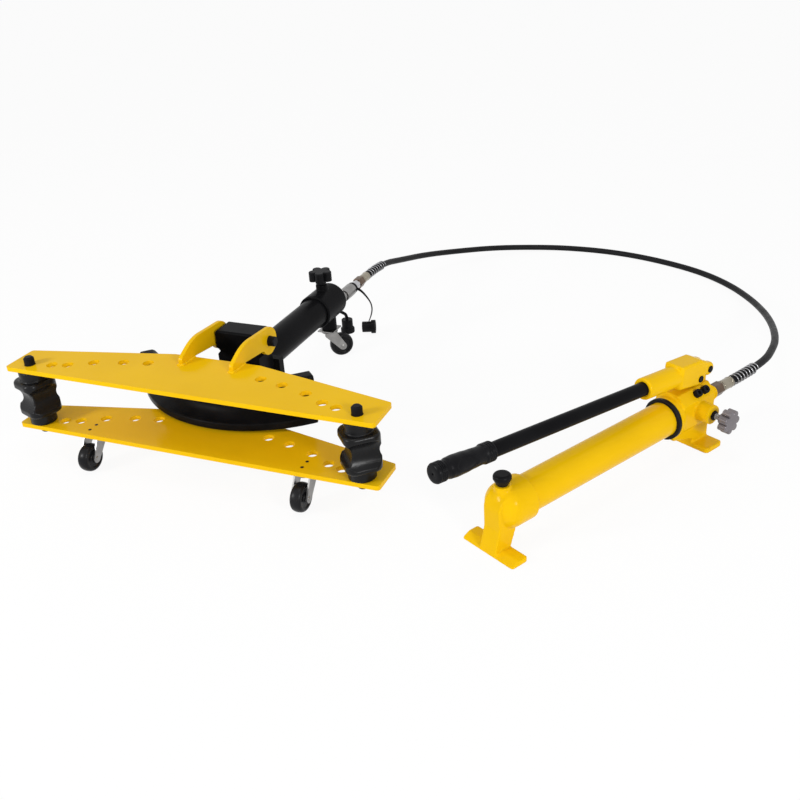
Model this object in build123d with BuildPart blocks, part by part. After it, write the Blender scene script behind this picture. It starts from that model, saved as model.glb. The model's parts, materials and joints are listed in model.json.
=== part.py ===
from build123d import *
import math
import os

# Hydraulic pipe bender with a separate hand pump, joined by a hose.
# Bender frame: X along the wings, Y along the cylinder to its rear, Z up from the floor.
# Pump frame: X along the reservoir to the pump head, Y to its left, Z up from the floor.

# Casters
WHEEL_R = 25.0
WHEEL_W = 20.0
WHEEL_EDGE = 4.0
WHEEL_DISH_R = 17.0
WHEEL_DISH = 2.0
WHEEL_HUB_R = 8.0
AXLE_D = 8.0
AXLE_HEAD_D = 13.0
AXLE_HEAD_H = 4.0
AXLE_CLEAR = 0.1
CASTER_TRAIL = 23.0
CASTER_PLATE_W = 36.0
CASTER_PLATE_L = 40.0
CASTER_PLATE_T = 2.5
RACE_D = 32.0
RACE_H = 2.0
CROWN_D = 34.0
CROWN_T = 2.5
CROWN_GAP = 0.3
KINGPIN_D = 9.0
KINGPIN_HEAD_D = 15.0
KINGPIN_HEAD_H = 2.0
KINGPIN_CLEAR = 0.1
LEG_T = 3.0
LEG_GAP = 2.2
LEG_TOP_R = 5.0
LEG_EYE_R = 8.0
WHEEL_TOP_GAP = 5.4
SWIVEL_H = RACE_H + 2 * CROWN_GAP + CROWN_T + KINGPIN_HEAD_H
CASTER_H = 2 * WHEEL_R + WHEEL_TOP_GAP + SWIVEL_H + CASTER_PLATE_T

# Wings: two flat plates with a row of roller holes in each half, placed from the wing's end
WING_HALF = 350.0
WING_T = 8.0
WING_END_DEPTH = 70.0
WING_MID_DEPTH = 128.0
WING_MID_HALF = 84.0
WING_CORNER_R = 6.0
WING_GAP = 103.0
PIN_INSET = 37.0
PIN_Y = 21.0
PIN_D = 18.0
PIN_HOLE_CLEAR = 0.6
SPARE_HOLES = [(77.0, 30.0), (104.5, 38.0), (144.0, 58.5), (195.0, 74.0), (239.5, 83.5)]
LOWER_BOTTOM = CASTER_H
LOWER_TOP = LOWER_BOTTOM + WING_T
UPPER_BOTTOM = LOWER_TOP + WING_GAP
UPPER_TOP = UPPER_BOTTOM + WING_T
AXIS_Z = LOWER_TOP + WING_GAP / 2
PIN_HOLE_D = PIN_D + 2 * PIN_HOLE_CLEAR
PIN_X = WING_HALF - PIN_INSET

# Rollers: square blocks with a pipe groove of its own radius and depth in each face
ROLLER_W = 60.0
ROLLER_CORNER_R = 17.0
ROLLER_HUB_D = 46.0
ROLLER_HUB_H = 18.0
ROLLER_END_CLEAR = 0.4
ROLLER_EDGE = 5.5
ROLLER_ANGLES = {"left": -19.0, "right": -48.0}
ROLLER_GROOVES = [(30.2, 12.0), (21.2, 3.5), (16.8, 11.0), (24.2, 11.5)]
PIN_ABOVE = 15.0
PIN_BELOW = 12.0
PIN_CHAMFER = 3.0

# Bending die: a quarter ring with the groove for the largest pipe
DIE_R = 245.0
DIE_HALF_ANGLE = 46.0
DIE_FRONT_Y = 69.0
DIE_SIDE_GAP = 6.0
DIE_RIM = 40.0
DIE_RIM_TOP = 26.0
DIE_RIM_SLOPE = 22.0
DIE_HUB_SEAT = 34.0
DIE_GROOVE_R = 30.2
DIE_GROOVE_PROUD = 2.0
DIE_EDGE = 3.0
DIE_WEB_T = 26.0
DIE_WEB_HALF = 118.0
DIE_HUB_W = 64.0
DIE_HUB_H = 62.0
DIE_CENTRE_Y = DIE_FRONT_Y + DIE_R
DIE_H = WING_GAP - 2 * DIE_SIDE_GAP

# Head block and the bracket that carries the lower wing
BLOCK_HALF = 42.0
BLOCK_FRONT_Y = 192.5
BLOCK_FRONT_WALL = 16.5
BLOCK_ABOVE_WING = 21.5
BLOCK_EDGE = 3.0
BLOCK_NOTCH_BELOW = 38.5
BLOCK_DIE_GAP = 8.5
BARREL_SOCKET = 30.0
BLOCK_NOTCH_H = 13.0
BLOCK_NOTCH_DEPTH = 6.0
BRACKET_HALF = 54.0
BRACKET_FRONT_Y = 50.0
BRACKET_T = 12.0
BRACKET_REAR_T = 15.0
BRACKET_ABOVE_AXIS = 15.5
BOLT_D = 10.0
BOLT_HEAD_D = 20.0
BOLT_HEX_H = 6.5
BOLT_CLEAR = 0.1
WING_BOLT_X = 36.0
WING_BOLT_Y = [92.0, 114.0]
BLOCK_BOLT_X = 28.0
BLOCK_BOLT_INSET = 12.0
BLOCK_BOLT_DEPTH = 22.0
BLOCK_LENGTH = BARREL_SOCKET + BLOCK_FRONT_WALL
BLOCK_REAR_Y = BLOCK_FRONT_Y + BLOCK_LENGTH
BLOCK_TOP = UPPER_TOP + BLOCK_ABOVE_WING
BLOCK_NOTCH_Z = BLOCK_TOP - BLOCK_NOTCH_BELOW
BRACKET_REAR_TOP = AXIS_Z + BRACKET_ABOVE_AXIS
DIE_HUB_REAR_Y = BLOCK_FRONT_Y - BLOCK_DIE_GAP

# Hinge of the upper wing
ARM_T = 8.0
ARM_TIP_Y = 92.0
ARM_TOE_H = 12.0
ARM_KNEE_Y = 136.0
ARM_KNEE_H = 33.0
ARM_UNDER_Y = 190.0
ARM_UNDER_DROP = 7.0
HINGE_BACK = 23.5
HINGE_ABOVE_WING = 3.0
EYE_R = 25.0
HINGE_PIN_D = 18.0
HINGE_PIN_OUT = 12.0
HINGE_PIN_IN = 20.0
HINGE_SHOULDER_D = 28.0
HINGE_SHOULDER_L = 3.7
HINGE_CLEAR = 0.1
ARM_SIDE_CLEAR = 0.3
ARM_INNER_X = BLOCK_HALF + HINGE_SHOULDER_L + ARM_SIDE_CLEAR
ARM_OUTER_X = ARM_INNER_X + ARM_T
ARM_MID_X = ARM_INNER_X + ARM_T / 2
HINGE_Y = BLOCK_FRONT_Y + HINGE_BACK
HINGE_Z = UPPER_TOP + HINGE_ABOVE_WING
ARM_TOE_Z = UPPER_TOP + ARM_TOE_H
ARM_KNEE_Z = UPPER_TOP + ARM_KNEE_H
ARM_UNDER_Z = UPPER_TOP - ARM_UNDER_DROP

# Hydraulic cylinder
BARREL_D = 60.0
BARREL_WALL = 6.0
BARREL_L = 347.0
SPRING_SPACE = 6.0
SPRING_SIDE_GAP = 1.0
NOSE_SHOULDER = 4.0
RAM_NOSE_L = 20.0
RUN_CLEAR = 0.08
PISTON_L = 34.0
PISTON_BACK_GAP = 4.0
SEAL_L = 6.0
SEAL_DEPTH = 4.0
END_CAP_L = 24.0
END_PLUG_L = 14.0
PORT_D = 6.0
PORT_DROP = 16.0
BARREL_BORE = BARREL_D - 2 * BARREL_WALL
RAM_D = BARREL_BORE - 2 * SPRING_SPACE
RAM_NOSE_D = RAM_D - 2 * NOSE_SHOULDER
PORT_Z = AXIS_Z - PORT_DROP
BARREL_FRONT_Y = BLOCK_REAR_Y - BARREL_SOCKET
BARREL_REAR_Y = BARREL_FRONT_Y + BARREL_L
PISTON_REAR_Y = BARREL_REAR_Y - END_PLUG_L - PISTON_BACK_GAP
PISTON_FRONT_Y = PISTON_REAR_Y - PISTON_L

# Return spring between the cylinder's front wall and the piston
RETURN_SPRING_WIRE = SPRING_SPACE - 2 * SPRING_SIDE_GAP
RETURN_SPRING_TURNS = 14
SPRING_SAMPLES = 24

# Rear collar with its clamp knob and the round foot over its caster
COLLAR_WALL = 5.0
COLLAR_L = 83.0
COLLAR_EDGE = 2.0
COLLAR_KNOB_BACK = 44.0
COLLAR_BOSS_D = 24.0
COLLAR_BOSS_H = 11.0
COLLAR_STUD_D = 10.0
COLLAR_FOOT_D = 32.0
STUD_END_GAP = 0.3
KNOB_R = 24.0
KNOB_LOBES = 5
KNOB_LOBE_R = 9.0
KNOB_H = 20.0
KNOB_NECK_D = 20.0
KNOB_NECK_H = 8.0
KNOB_EDGE = 2.0
KNOB_GAP = 1.5
COLLAR_D = BARREL_D + 2 * COLLAR_WALL
COLLAR_REAR_Y = BARREL_REAR_Y + END_CAP_L - END_PLUG_L
COLLAR_FRONT_Y = COLLAR_REAR_Y - COLLAR_L
COLLAR_KNOB_Y = COLLAR_FRONT_Y + COLLAR_KNOB_BACK

# Where the casters stand and how the front ones are screwed to the lower wing
FRONT_CASTER_INSET = 141.0
FRONT_CASTER_Y = 25.0
REAR_CASTER_INSET = 23.0
REAR_CASTER_ANGLE = 40.0
CASTER_SCREW_D = 4.0
CASTER_SCREW_HEAD_D = 6.0
CASTER_SCREW_SPREAD = 9.0
FRONT_CASTER_X = WING_HALF - FRONT_CASTER_INSET
REAR_CASTER_Y = COLLAR_REAR_Y - REAR_CASTER_INSET

# Quick coupler at the cylinder's rear, its dust caps and the hose ends
COUPLER_D = 22.0
COUPLER_NECK_D = 18.0
COUPLER_NECK_L = 20.0
COUPLER_L = 74.0
SLEEVE_D = 27.0
SLEEVE_L = 40.0
SLEEVE_CLEAR = 0.1
MALE_D = 20.0
MALE_L = 30.0
CAP_RING_W = 6.0
CAP_RING_T = 2.5
CAP_RING_GAP = 3.0
NUT_WIDTH = 22.0
NUT_L = 22.0
FERRULE_D = 19.5
FERRULE_L = 32.0
HOSE_D = 14.0
HOSE_STRAIGHT = 127.0
HOSE_FLOOR_GAP = 0.3
GUARD_WIRE = 2.6
GUARD_CLEAR = 0.5
GUARD_A_TURNS = 8
GUARD_A_PITCH = 11.0
GUARD_B_TURNS = 8
GUARD_B_PITCH = 9.6
CAP_D = 24.0
CAP_H = 30.0
CAP_RIM_D = 30.0
CAP_RIM_H = 10.0
STRAP_D = 3.0
CORD_ARC_SHARE = 0.45
FEMALE_CAP_AT = (10.0, 608.0, 45.0)
MALE_CAP_AT = (30.0, 674.0, 16.0)
MALE_CAP_ANGLE = math.radians(200)
HOSE_FLOOR_Z = HOSE_D / 2 + HOSE_FLOOR_GAP

# Pump: where it stands and its reservoir
PUMP_X = 527.5
PUMP_Y = -17.8
PUMP_ANGLE = 61.1
TANK_Z = 70.0
TANK_D = 60.0
TANK_WALL = 3.0
TANK_FRONT_X = 44.0
TANK_L = 374.0
FOOT_HALF = 54.0
FOOT_T = 9.0
FOOT_CORNER_R = 7.0
TANK_BORE = TANK_D - 2 * TANK_WALL
TANK_REAR_X = TANK_FRONT_X + TANK_L

# Pump front cap with its foot, leg and filler
NOSE_X = 12.0
CUP_WALL = 6.5
CUP_GRIP = 30.0
CUP_DOME = 30.0
FRONT_TOE_DEPTH = 32.0
TOE_BEVEL = 14.0
TOE_LIP = 2.5
TOE_CORNER_R = 3.5
WEB_HALF = 17.0
WEB_PROUD = 1.5
WEB_SINK = 1.5
WEB_BACK_X = 44.0
ANKLE_X = 11.0
ANKLE_Z = 40.0
FILLER_X = 33.0
FILLER_D = 25.0
FILLER_RISE = 1.5
CUP_D = TANK_D + 2 * CUP_WALL
CUP_REAR_X = TANK_FRONT_X + CUP_GRIP
FILLER_TOP = TANK_Z + CUP_D / 2 + FILLER_RISE
FILLER_STEM_D = 12.0
FILLER_STEM_L = 12.0
VENT_BASE_D = 17.0
VENT_D = 28.0
VENT_BASE_H = 11.0
VENT_RIM_H = 8.0
VENT_DOME = 5.0
VENT_SEAT_GAP = 0.3

# Pump head with its foot, plunger column and valves
TANK_SEAT = 6.0
GASKET_T = 8.0
GASKET_D = 73.0
FLANGE_L = 12.0
HEAD_HALF = 30.0
HEAD_L = 96.0
HEAD_ABOVE_AXIS = 42.0
HEAD_CHAMFER = 16.0
REAR_TOE_DEPTH = 44.0
COLUMN_HALF = 22.0
BELLY_CHAMFER = 10.0
PLUNGER_BACK = 65.5
PLUNGER_D = 16.0
PLUNGER_DEPTH = 50.0
PLUNGER_FLOOR_GAP = 4.0
FULCRUM_BACK = 90.0
FULCRUM_ABOVE = 25.0
EAR_HALF = 6.5
EAR_R = 10.0
LEVER_PIN_D = 9.0
PIN_PROUD = 1.5
PLUNGER_PIN_ABOVE = 15.0
PLUNGER_EYE_R = 10.0
PLUNGER_EYE_HALF = 6.5
PLUNGER_SHOULDER = 2.0
PLUNGER_SLOT = 2.6
PLUNGER_SLOT_CLEAR = 0.4
VALVE_BACK = 56.0
VALVE_ABOVE_AXIS = 6.0
VALVE_BOSS_D = 34.0
VALVE_BOSS_OUT = 56.0
VALVE_GLAND_D = 17.0
VALVE_GLAND_L = 4.0
SPINDLE_D = 9.0
SPINDLE_IN = 22.0
SPINDLE_OUT = 78.0
STAR_R = 21.0
STAR_LOBES = 7
STAR_LOBE_R = 6.5
STAR_T = 15.0
STAR_NECK_D = 18.0
STAR_NECK_L = 7.0
PLUG_D = 14.0
PLUG_H = 9.0
PLUG_SOCKET_D = 7.0
PLUG_BACK = [52.0, 72.0]
HOSE_PORT_Y = -20.0
HOSE_PORT_ABOVE_AXIS = 21.0
HOSE_PORT_D = 27.0
HOSE_PORT_L = 3.0
TIE_ROD_D = 10.0
TIE_ROD_SEAT = 14.0
HEAD_FRONT_X = TANK_REAR_X - TANK_SEAT
GASKET_X = HEAD_FRONT_X - GASKET_T
HEAD_REAR_X = HEAD_FRONT_X + HEAD_L
HEAD_TOP = TANK_Z + HEAD_ABOVE_AXIS
REAR_TOE_X = HEAD_REAR_X - REAR_TOE_DEPTH
PLUNGER_X = HEAD_FRONT_X + PLUNGER_BACK
PLUNGER_BOTTOM = HEAD_TOP - PLUNGER_DEPTH
FULCRUM_X = HEAD_FRONT_X + FULCRUM_BACK
FULCRUM_Z = HEAD_TOP + FULCRUM_ABOVE
PLUNGER_PIN_Z = HEAD_TOP + PLUNGER_PIN_ABOVE
VALVE_X = HEAD_FRONT_X + VALVE_BACK
VALVE_Z = TANK_Z + VALVE_ABOVE_AXIS
HOSE_PORT_Z = TANK_Z + HOSE_PORT_ABOVE_AXIS

# Lever: casting, handle tube and grip, along an axis that rises to the front
LEVER_RISE = 4.4
LEVER_HALF = 19.0
FORK_SLOT_HALF = 7.2
FORK_SLOT_FRONT = 40.0
FORK_SLOT_TOP = 13.0
LEVER_BLOCK_FRONT = 78.0
LEVER_BLOCK_TOP = 22.0
LEVER_BLOCK_BOTTOM = 19.0
LEVER_LOBE_R = 12.0
LEVER_EDGE = 3.0
SOCKET_D = 37.0
SOCKET_END = 156.0
SOCKET_BORE_START = 96.0
HANDLE_D = 23.5
HANDLE_END = 594.0
GRIP_START = 492.0
GRIP_END = 600.0
GRIP_END_R = 15.5
GRIP_WAIST_R = 14.2
GRIP_BULGE_R = 16.6
GRIP_RIBS = 3
GRIP_NOSE_R = 4.0
GRIP_RIB_W = 2.6
GRIP_RIB_H = 1.2

os.makedirs("parts", exist_ok=True)
pieces = {}
cord_pieces = {}


def facing_front(y):
    """Upright plane across the cylinder at y: its x is X, its y is Z, and it looks to the front."""
    return Plane(origin=(0, y, 0), x_dir=(1, 0, 0), z_dir=(0, -1, 0))


def rod(start_y, end_y, diameter, bore=0.0, axis_z=AXIS_Z):
    """Round bar or tube along the cylinder, on its axis unless another height is given."""
    with BuildPart() as bar:
        with BuildSketch(facing_front(end_y)):
            with Locations((0, axis_z)):
                Circle(diameter / 2)
                if bore > 0:
                    Circle(bore / 2, mode=Mode.SUBTRACT)
        extrude(amount=end_y - start_y)
    return bar.part


def helix_tube(frame, length, turns, mean_r, wire):
    """Spring along the frame's z axis: quarter turns of tangent arcs, with short straight ends."""
    steps = 4 * turns
    pitch_slope = length / (2 * math.pi * turns)

    def point(k):
        angle = math.pi / 2 * k
        local = (mean_r * math.cos(angle), mean_r * math.sin(angle), length * k / steps)
        return frame.from_local_coords(Vector(*local))

    def tangent(k):
        angle = math.pi / 2 * k
        local = Vector(-mean_r * math.sin(angle), mean_r * math.cos(angle), pitch_slope)
        turned = frame.x_dir * local.X + frame.y_dir * local.Y + frame.z_dir * local.Z
        return turned.normalized()

    with BuildPart() as spring:
        with BuildLine() as path:
            Line(point(0) - tangent(0) * wire, point(0))
            for k in range(steps):
                start, end = point(k), point(k + 1)
                out, into = tangent(k), tangent(k + 1)
                span = end - start
                spread = 2 * (1 - out.dot(into))
                along = span.dot(out + into)
                reach = (math.sqrt(along**2 + spread * span.dot(span)) - along) / spread
                middle = (start + out * reach + end - into * reach) * 0.5
                through = ((end - into * reach) - (start + out * reach)).normalized()
                TangentArc(start, middle, tangent=out)
                TangentArc(middle, end, tangent=through)
            Line(point(steps), point(steps) + tangent(steps) * wire)
        with BuildSketch(Plane(origin=path.line @ 0, z_dir=path.line % 0)):
            Circle(wire / 2)
        sweep()
    wire_path = path.wires()[0]
    count = SPRING_SAMPLES * turns
    points = [wire_path @ (k / count) for k in range(count + 1)]
    apart = SPRING_SAMPLES // 2
    gap = min(
        (points[i] - points[j]).length for i in range(count + 1) for j in range(i + apart, count + 1)
    )
    print(f"spring of {turns} turns: least gap to itself {gap - wire:.2f} mm")
    return spring.part


def cord_tube(points, diameter, name):
    """Round cord along straight runs joined by arcs as large as the runs allow."""
    points = [Vector(*p) for p in points]
    radii = []
    for before, here, after in zip(points, points[1:], points[2:]):
        arriving, leaving = here - before, after - here
        turn = math.radians(arriving.get_angle(leaving))
        radii.append(CORD_ARC_SHARE * min(arriving.length, leaving.length) / math.tan(turn / 2))
    with BuildPart() as cord:
        with BuildLine() as path:
            FilletPolyline(*points, radius=radii)
        with BuildSketch(Plane(origin=path.line @ 0, z_dir=path.line % 0)):
            Circle(diameter / 2)
        sweep()
    length = sum(edge.length for edge in path.edges())
    section = math.pi * diameter**2 / 4
    print(f"{name}: length {length:.0f} mm, radii {[round(r) for r in radii]}")
    print(f"{name}: volume over section times length {cord.part.volume / (section * length):.4f}")
    return cord.part


def star_knob(frame, radius, lobes, lobe_r, height, neck_d, neck_h, bore_d):
    """Lobed knob standing on its neck along the frame's z axis, with a bore for its stud."""
    with BuildPart() as knob:
        with BuildSketch(frame):
            Circle(neck_d / 2)
        extrude(amount=neck_h)
        with BuildSketch(frame.offset(neck_h)):
            Circle(radius - lobe_r)
            with PolarLocations(radius - lobe_r, lobes):
                Circle(lobe_r)
        extrude(amount=height)
        outward = Axis(frame.origin, frame.z_dir)
        fillet(knob.faces().sort_by(outward)[-1].edges(), KNOB_EDGE)
        with BuildSketch(frame):
            Circle(bore_d / 2)
        extrude(amount=neck_h + height / 2, mode=Mode.SUBTRACT)
    return knob.part


# Wings
roller_points = [(side * PIN_X, PIN_Y) for side in (-1, 1)]
spare_points = [(side * (WING_HALF - inset), y) for inset, y in SPARE_HOLES for side in (-1, 1)]


def wing_plate(bottom_z):
    """One wing with all its roller holes."""
    with BuildPart() as plate:
        with BuildSketch(Plane.XY.offset(bottom_z)) as outline:
            with BuildLine():
                Polyline(
                    (-WING_HALF, 0),
                    (WING_HALF, 0),
                    (WING_HALF, WING_END_DEPTH),
                    (WING_MID_HALF, WING_MID_DEPTH),
                    (-WING_MID_HALF, WING_MID_DEPTH),
                    (-WING_HALF, WING_END_DEPTH),
                    close=True,
                )
            make_face()
            fillet(outline.vertices(), WING_CORNER_R)
            with Locations(*roller_points, *spare_points):
                Circle(PIN_HOLE_D / 2, mode=Mode.SUBTRACT)
        extrude(amount=WING_T)
    return plate.part


upper_wing = wing_plate(UPPER_BOTTOM)
front_casters = [(side * FRONT_CASTER_X, FRONT_CASTER_Y) for side in (-1, 1)]
caster_screw_points = [
    (x, y + shift) for x, y in front_casters for shift in (-CASTER_SCREW_SPREAD, CASTER_SCREW_SPREAD)
]
wing_bolt_points = [(side * WING_BOLT_X, y) for y in WING_BOLT_Y for side in (-1, 1)]
lower_blank = wing_plate(LOWER_BOTTOM)
with BuildPart() as lower_wing:
    add(lower_blank)
    with Locations(*[(x, y, LOWER_TOP) for x, y in caster_screw_points]):
        CounterSinkHole(CASTER_SCREW_D / 2 + BOLT_CLEAR, CASTER_SCREW_HEAD_D / 2 + BOLT_CLEAR, WING_T)
    with Locations(*[(x, y, LOWER_TOP) for x, y in wing_bolt_points]):
        CounterSinkHole(BOLT_D / 2 + BOLT_CLEAR, BOLT_HEAD_D / 2 + BOLT_CLEAR, WING_T)
pieces["lower_wing"] = lower_wing.part
pieces["upper_wing"] = upper_wing

# Bracket under the lower wing with an upright plate behind the head block
block_bolt_points = [
    (side * BLOCK_BOLT_X, y)
    for y in (BLOCK_FRONT_Y + BLOCK_BOLT_INSET, BLOCK_REAR_Y - BLOCK_BOLT_INSET)
    for side in (-1, 1)
]
BRACKET_BOTTOM = LOWER_BOTTOM - BRACKET_T
with BuildPart() as base_bracket:
    with BuildSketch(Plane.XY.offset(BRACKET_BOTTOM)):
        with Locations((0, (BRACKET_FRONT_Y + BLOCK_REAR_Y + BRACKET_REAR_T) / 2)):
            Rectangle(2 * BRACKET_HALF, BLOCK_REAR_Y + BRACKET_REAR_T - BRACKET_FRONT_Y)
        with Locations(*wing_bolt_points, *block_bolt_points):
            Circle(BOLT_D / 2 + BOLT_CLEAR, mode=Mode.SUBTRACT)
    extrude(amount=BRACKET_T)
    with BuildSketch(facing_front(BLOCK_REAR_Y + BRACKET_REAR_T)):
        with Locations((0, (BRACKET_BOTTOM + BRACKET_REAR_TOP) / 2)):
            Rectangle(2 * BRACKET_HALF, BRACKET_REAR_TOP - BRACKET_BOTTOM)
        with Locations((0, AXIS_Z)):
            Circle(BARREL_D / 2 + BOLT_CLEAR, mode=Mode.SUBTRACT)
    extrude(amount=BRACKET_REAR_T)
pieces["base_bracket"] = base_bracket.part

# Head block: socket for the barrel, bearing for the ram, bores for the hinge pins
with BuildPart() as head_block:
    with BuildSketch(facing_front(BLOCK_REAR_Y)):
        with Locations((0, (LOWER_BOTTOM + BLOCK_TOP) / 2)):
            Rectangle(2 * BLOCK_HALF, BLOCK_TOP - LOWER_BOTTOM)
        for side in (-1, 1):
            with BuildLine():
                Polyline(
                    (side * BLOCK_HALF, BLOCK_NOTCH_Z - BLOCK_NOTCH_H / 2),
                    (side * BLOCK_HALF, BLOCK_NOTCH_Z + BLOCK_NOTCH_H / 2),
                    (side * (BLOCK_HALF - BLOCK_NOTCH_DEPTH), BLOCK_NOTCH_Z),
                    close=True,
                )
            make_face(mode=Mode.SUBTRACT)
    extrude(amount=BLOCK_LENGTH)
    chamfer(head_block.faces().sort_by(Axis.Z)[-1].edges(), BLOCK_EDGE)
    with BuildSketch(facing_front(BLOCK_REAR_Y)):
        with Locations((0, AXIS_Z)):
            Circle(BARREL_D / 2)
    extrude(amount=BARREL_SOCKET, mode=Mode.SUBTRACT)
    with BuildSketch(facing_front(BLOCK_REAR_Y)):
        with Locations((0, AXIS_Z)):
            Circle(RAM_D / 2 + RUN_CLEAR)
    extrude(amount=BLOCK_LENGTH, mode=Mode.SUBTRACT)
    with BuildSketch(Plane.XY.offset(LOWER_BOTTOM)):
        with Locations(*block_bolt_points):
            Circle(BOLT_D / 2 + BOLT_CLEAR)
    extrude(amount=BLOCK_BOLT_DEPTH + BOLT_CLEAR, mode=Mode.SUBTRACT)
    for side in (-1, 1):
        with BuildSketch(Plane.YZ.offset(side * BLOCK_HALF)):
            with Locations((HINGE_Y, HINGE_Z)):
                Circle(HINGE_PIN_D / 2)
        extrude(amount=-side * HINGE_PIN_IN, mode=Mode.SUBTRACT)
pieces["head_block"] = head_block.part

# Countersunk bolts of the lower wing and hexagon bolts of the head block
with BuildPart() as wing_bolts:
    for x, y in wing_bolt_points:
        with BuildSketch(Plane.XY.offset(BRACKET_BOTTOM)):
            with Locations((x, y)):
                Circle(BOLT_D / 2)
        extrude(amount=LOWER_TOP - BRACKET_BOTTOM)
        with BuildSketch(Plane.XY.offset(LOWER_TOP)):
            with Locations((x, y)):
                Circle(BOLT_HEAD_D / 2)
        extrude(amount=-(BOLT_HEAD_D - BOLT_D) / 2, taper=45)
pieces["wing_bolts"] = wing_bolts.part

with BuildPart() as block_bolts:
    for x, y in block_bolt_points:
        with BuildSketch(Plane.XY.offset(BRACKET_BOTTOM)):
            with Locations((x, y)):
                Circle(BOLT_D / 2)
        extrude(amount=BRACKET_T + BLOCK_BOLT_DEPTH)
        with BuildSketch(Plane.XY.offset(BRACKET_BOTTOM)):
            with Locations((x, y)):
                RegularPolygon(BOLT_HEAD_D / 2, 6)
        extrude(amount=-BOLT_HEX_H)
pieces["block_bolts"] = block_bolts.part

# Hinge arms on the upper wing and their stub pins in the head block
with BuildPart() as hinge_arms:
    for side in (-1, 1):
        with BuildSketch(Plane.YZ.offset(side * ARM_MID_X)):
            with BuildLine():
                Polyline(
                    (ARM_TIP_Y, UPPER_TOP),
                    (ARM_TIP_Y, ARM_TOE_Z),
                    (ARM_KNEE_Y, ARM_KNEE_Z),
                    (HINGE_Y, HINGE_Z + EYE_R),
                    (HINGE_Y, HINGE_Z - EYE_R),
                    (ARM_UNDER_Y, ARM_UNDER_Z),
                    (WING_MID_DEPTH, UPPER_TOP),
                    close=True,
                )
            make_face()
            with Locations((HINGE_Y, HINGE_Z)):
                Circle(EYE_R)
                Circle(HINGE_PIN_D / 2 + HINGE_CLEAR, mode=Mode.SUBTRACT)
        extrude(amount=ARM_T / 2, both=True)
pieces["hinge_arms"] = hinge_arms.part

with BuildPart() as hinge_pins:
    for side in (-1, 1):
        with BuildSketch(Plane.YZ.offset(side * (BLOCK_HALF - HINGE_PIN_IN))):
            with Locations((HINGE_Y, HINGE_Z)):
                Circle(HINGE_PIN_D / 2)
        extrude(amount=side * (HINGE_PIN_IN + ARM_OUTER_X + HINGE_PIN_OUT - BLOCK_HALF))
        with BuildSketch(Plane.YZ.offset(side * BLOCK_HALF)):
            with Locations((HINGE_Y, HINGE_Z)):
                Circle(HINGE_SHOULDER_D / 2)
        extrude(amount=side * HINGE_SHOULDER_L)
    pin_ends = hinge_pins.faces().sort_by(Axis.X)
    chamfer([*pin_ends[0].edges(), *pin_ends[-1].edges()], PIN_CHAMFER / 2)
pieces["hinge_pins"] = hinge_pins.part

# Rollers on their pins
ROLLER_BOTTOM = LOWER_TOP + ROLLER_END_CLEAR
ROLLER_TOP = UPPER_BOTTOM - ROLLER_END_CLEAR
for side, name in ((-1, "left"), (1, "right")):
    turned = Plane.XY.rotated((0, 0, ROLLER_ANGLES[name]))
    base = Plane(origin=(side * PIN_X, PIN_Y, ROLLER_BOTTOM), x_dir=turned.x_dir, z_dir=(0, 0, 1))
    with BuildPart() as roller:
        with BuildSketch(base):
            Circle(ROLLER_HUB_D / 2)
        extrude(amount=ROLLER_TOP - ROLLER_BOTTOM)
        with BuildSketch(base.offset(ROLLER_HUB_H)):
            RectangleRounded(ROLLER_W, ROLLER_W, ROLLER_CORNER_R)
        extrude(amount=ROLLER_TOP - ROLLER_BOTTOM - 2 * ROLLER_HUB_H)
        flats = roller.faces().filter_by(Axis.Z).sort_by(Axis.Z)
        lips = [*flats[1].outer_wire().edges(), *flats[-2].outer_wire().edges()]
        fillet(lips, ROLLER_EDGE)
        for quarter, (groove_r, groove_depth) in enumerate(ROLLER_GROOVES):
            facing = math.radians(90 * quarter)
            normal = base.x_dir * math.cos(facing) + base.y_dir * math.sin(facing)
            reach = ROLLER_W / 2 - groove_depth + groove_r
            groove_centre = Vector(side * PIN_X, PIN_Y, AXIS_Z) + normal * reach
            with BuildSketch(Plane(origin=groove_centre, x_dir=normal, z_dir=normal.cross(Vector(0, 0, 1)))):
                Circle(groove_r)
            extrude(amount=ROLLER_W, both=True, mode=Mode.SUBTRACT)
        with BuildSketch(base):
            Circle(PIN_D / 2)
        extrude(amount=ROLLER_TOP - ROLLER_BOTTOM, mode=Mode.SUBTRACT)
    pieces[f"roller_{name}"] = roller.part

    with BuildPart() as roller_pin:
        with BuildSketch(Plane.XY.offset(LOWER_BOTTOM - PIN_BELOW)):
            with Locations((side * PIN_X, PIN_Y)):
                Circle(PIN_D / 2)
        extrude(amount=UPPER_TOP + PIN_ABOVE - LOWER_BOTTOM + PIN_BELOW)
        chamfer(roller_pin.faces().sort_by(Axis.Z)[-1].edges(), PIN_CHAMFER)
        chamfer(roller_pin.faces().sort_by(Axis.Z)[0].edges(), PIN_CHAMFER / 2)
    pieces[f"roller_pin_{name}"] = roller_pin.part

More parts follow.
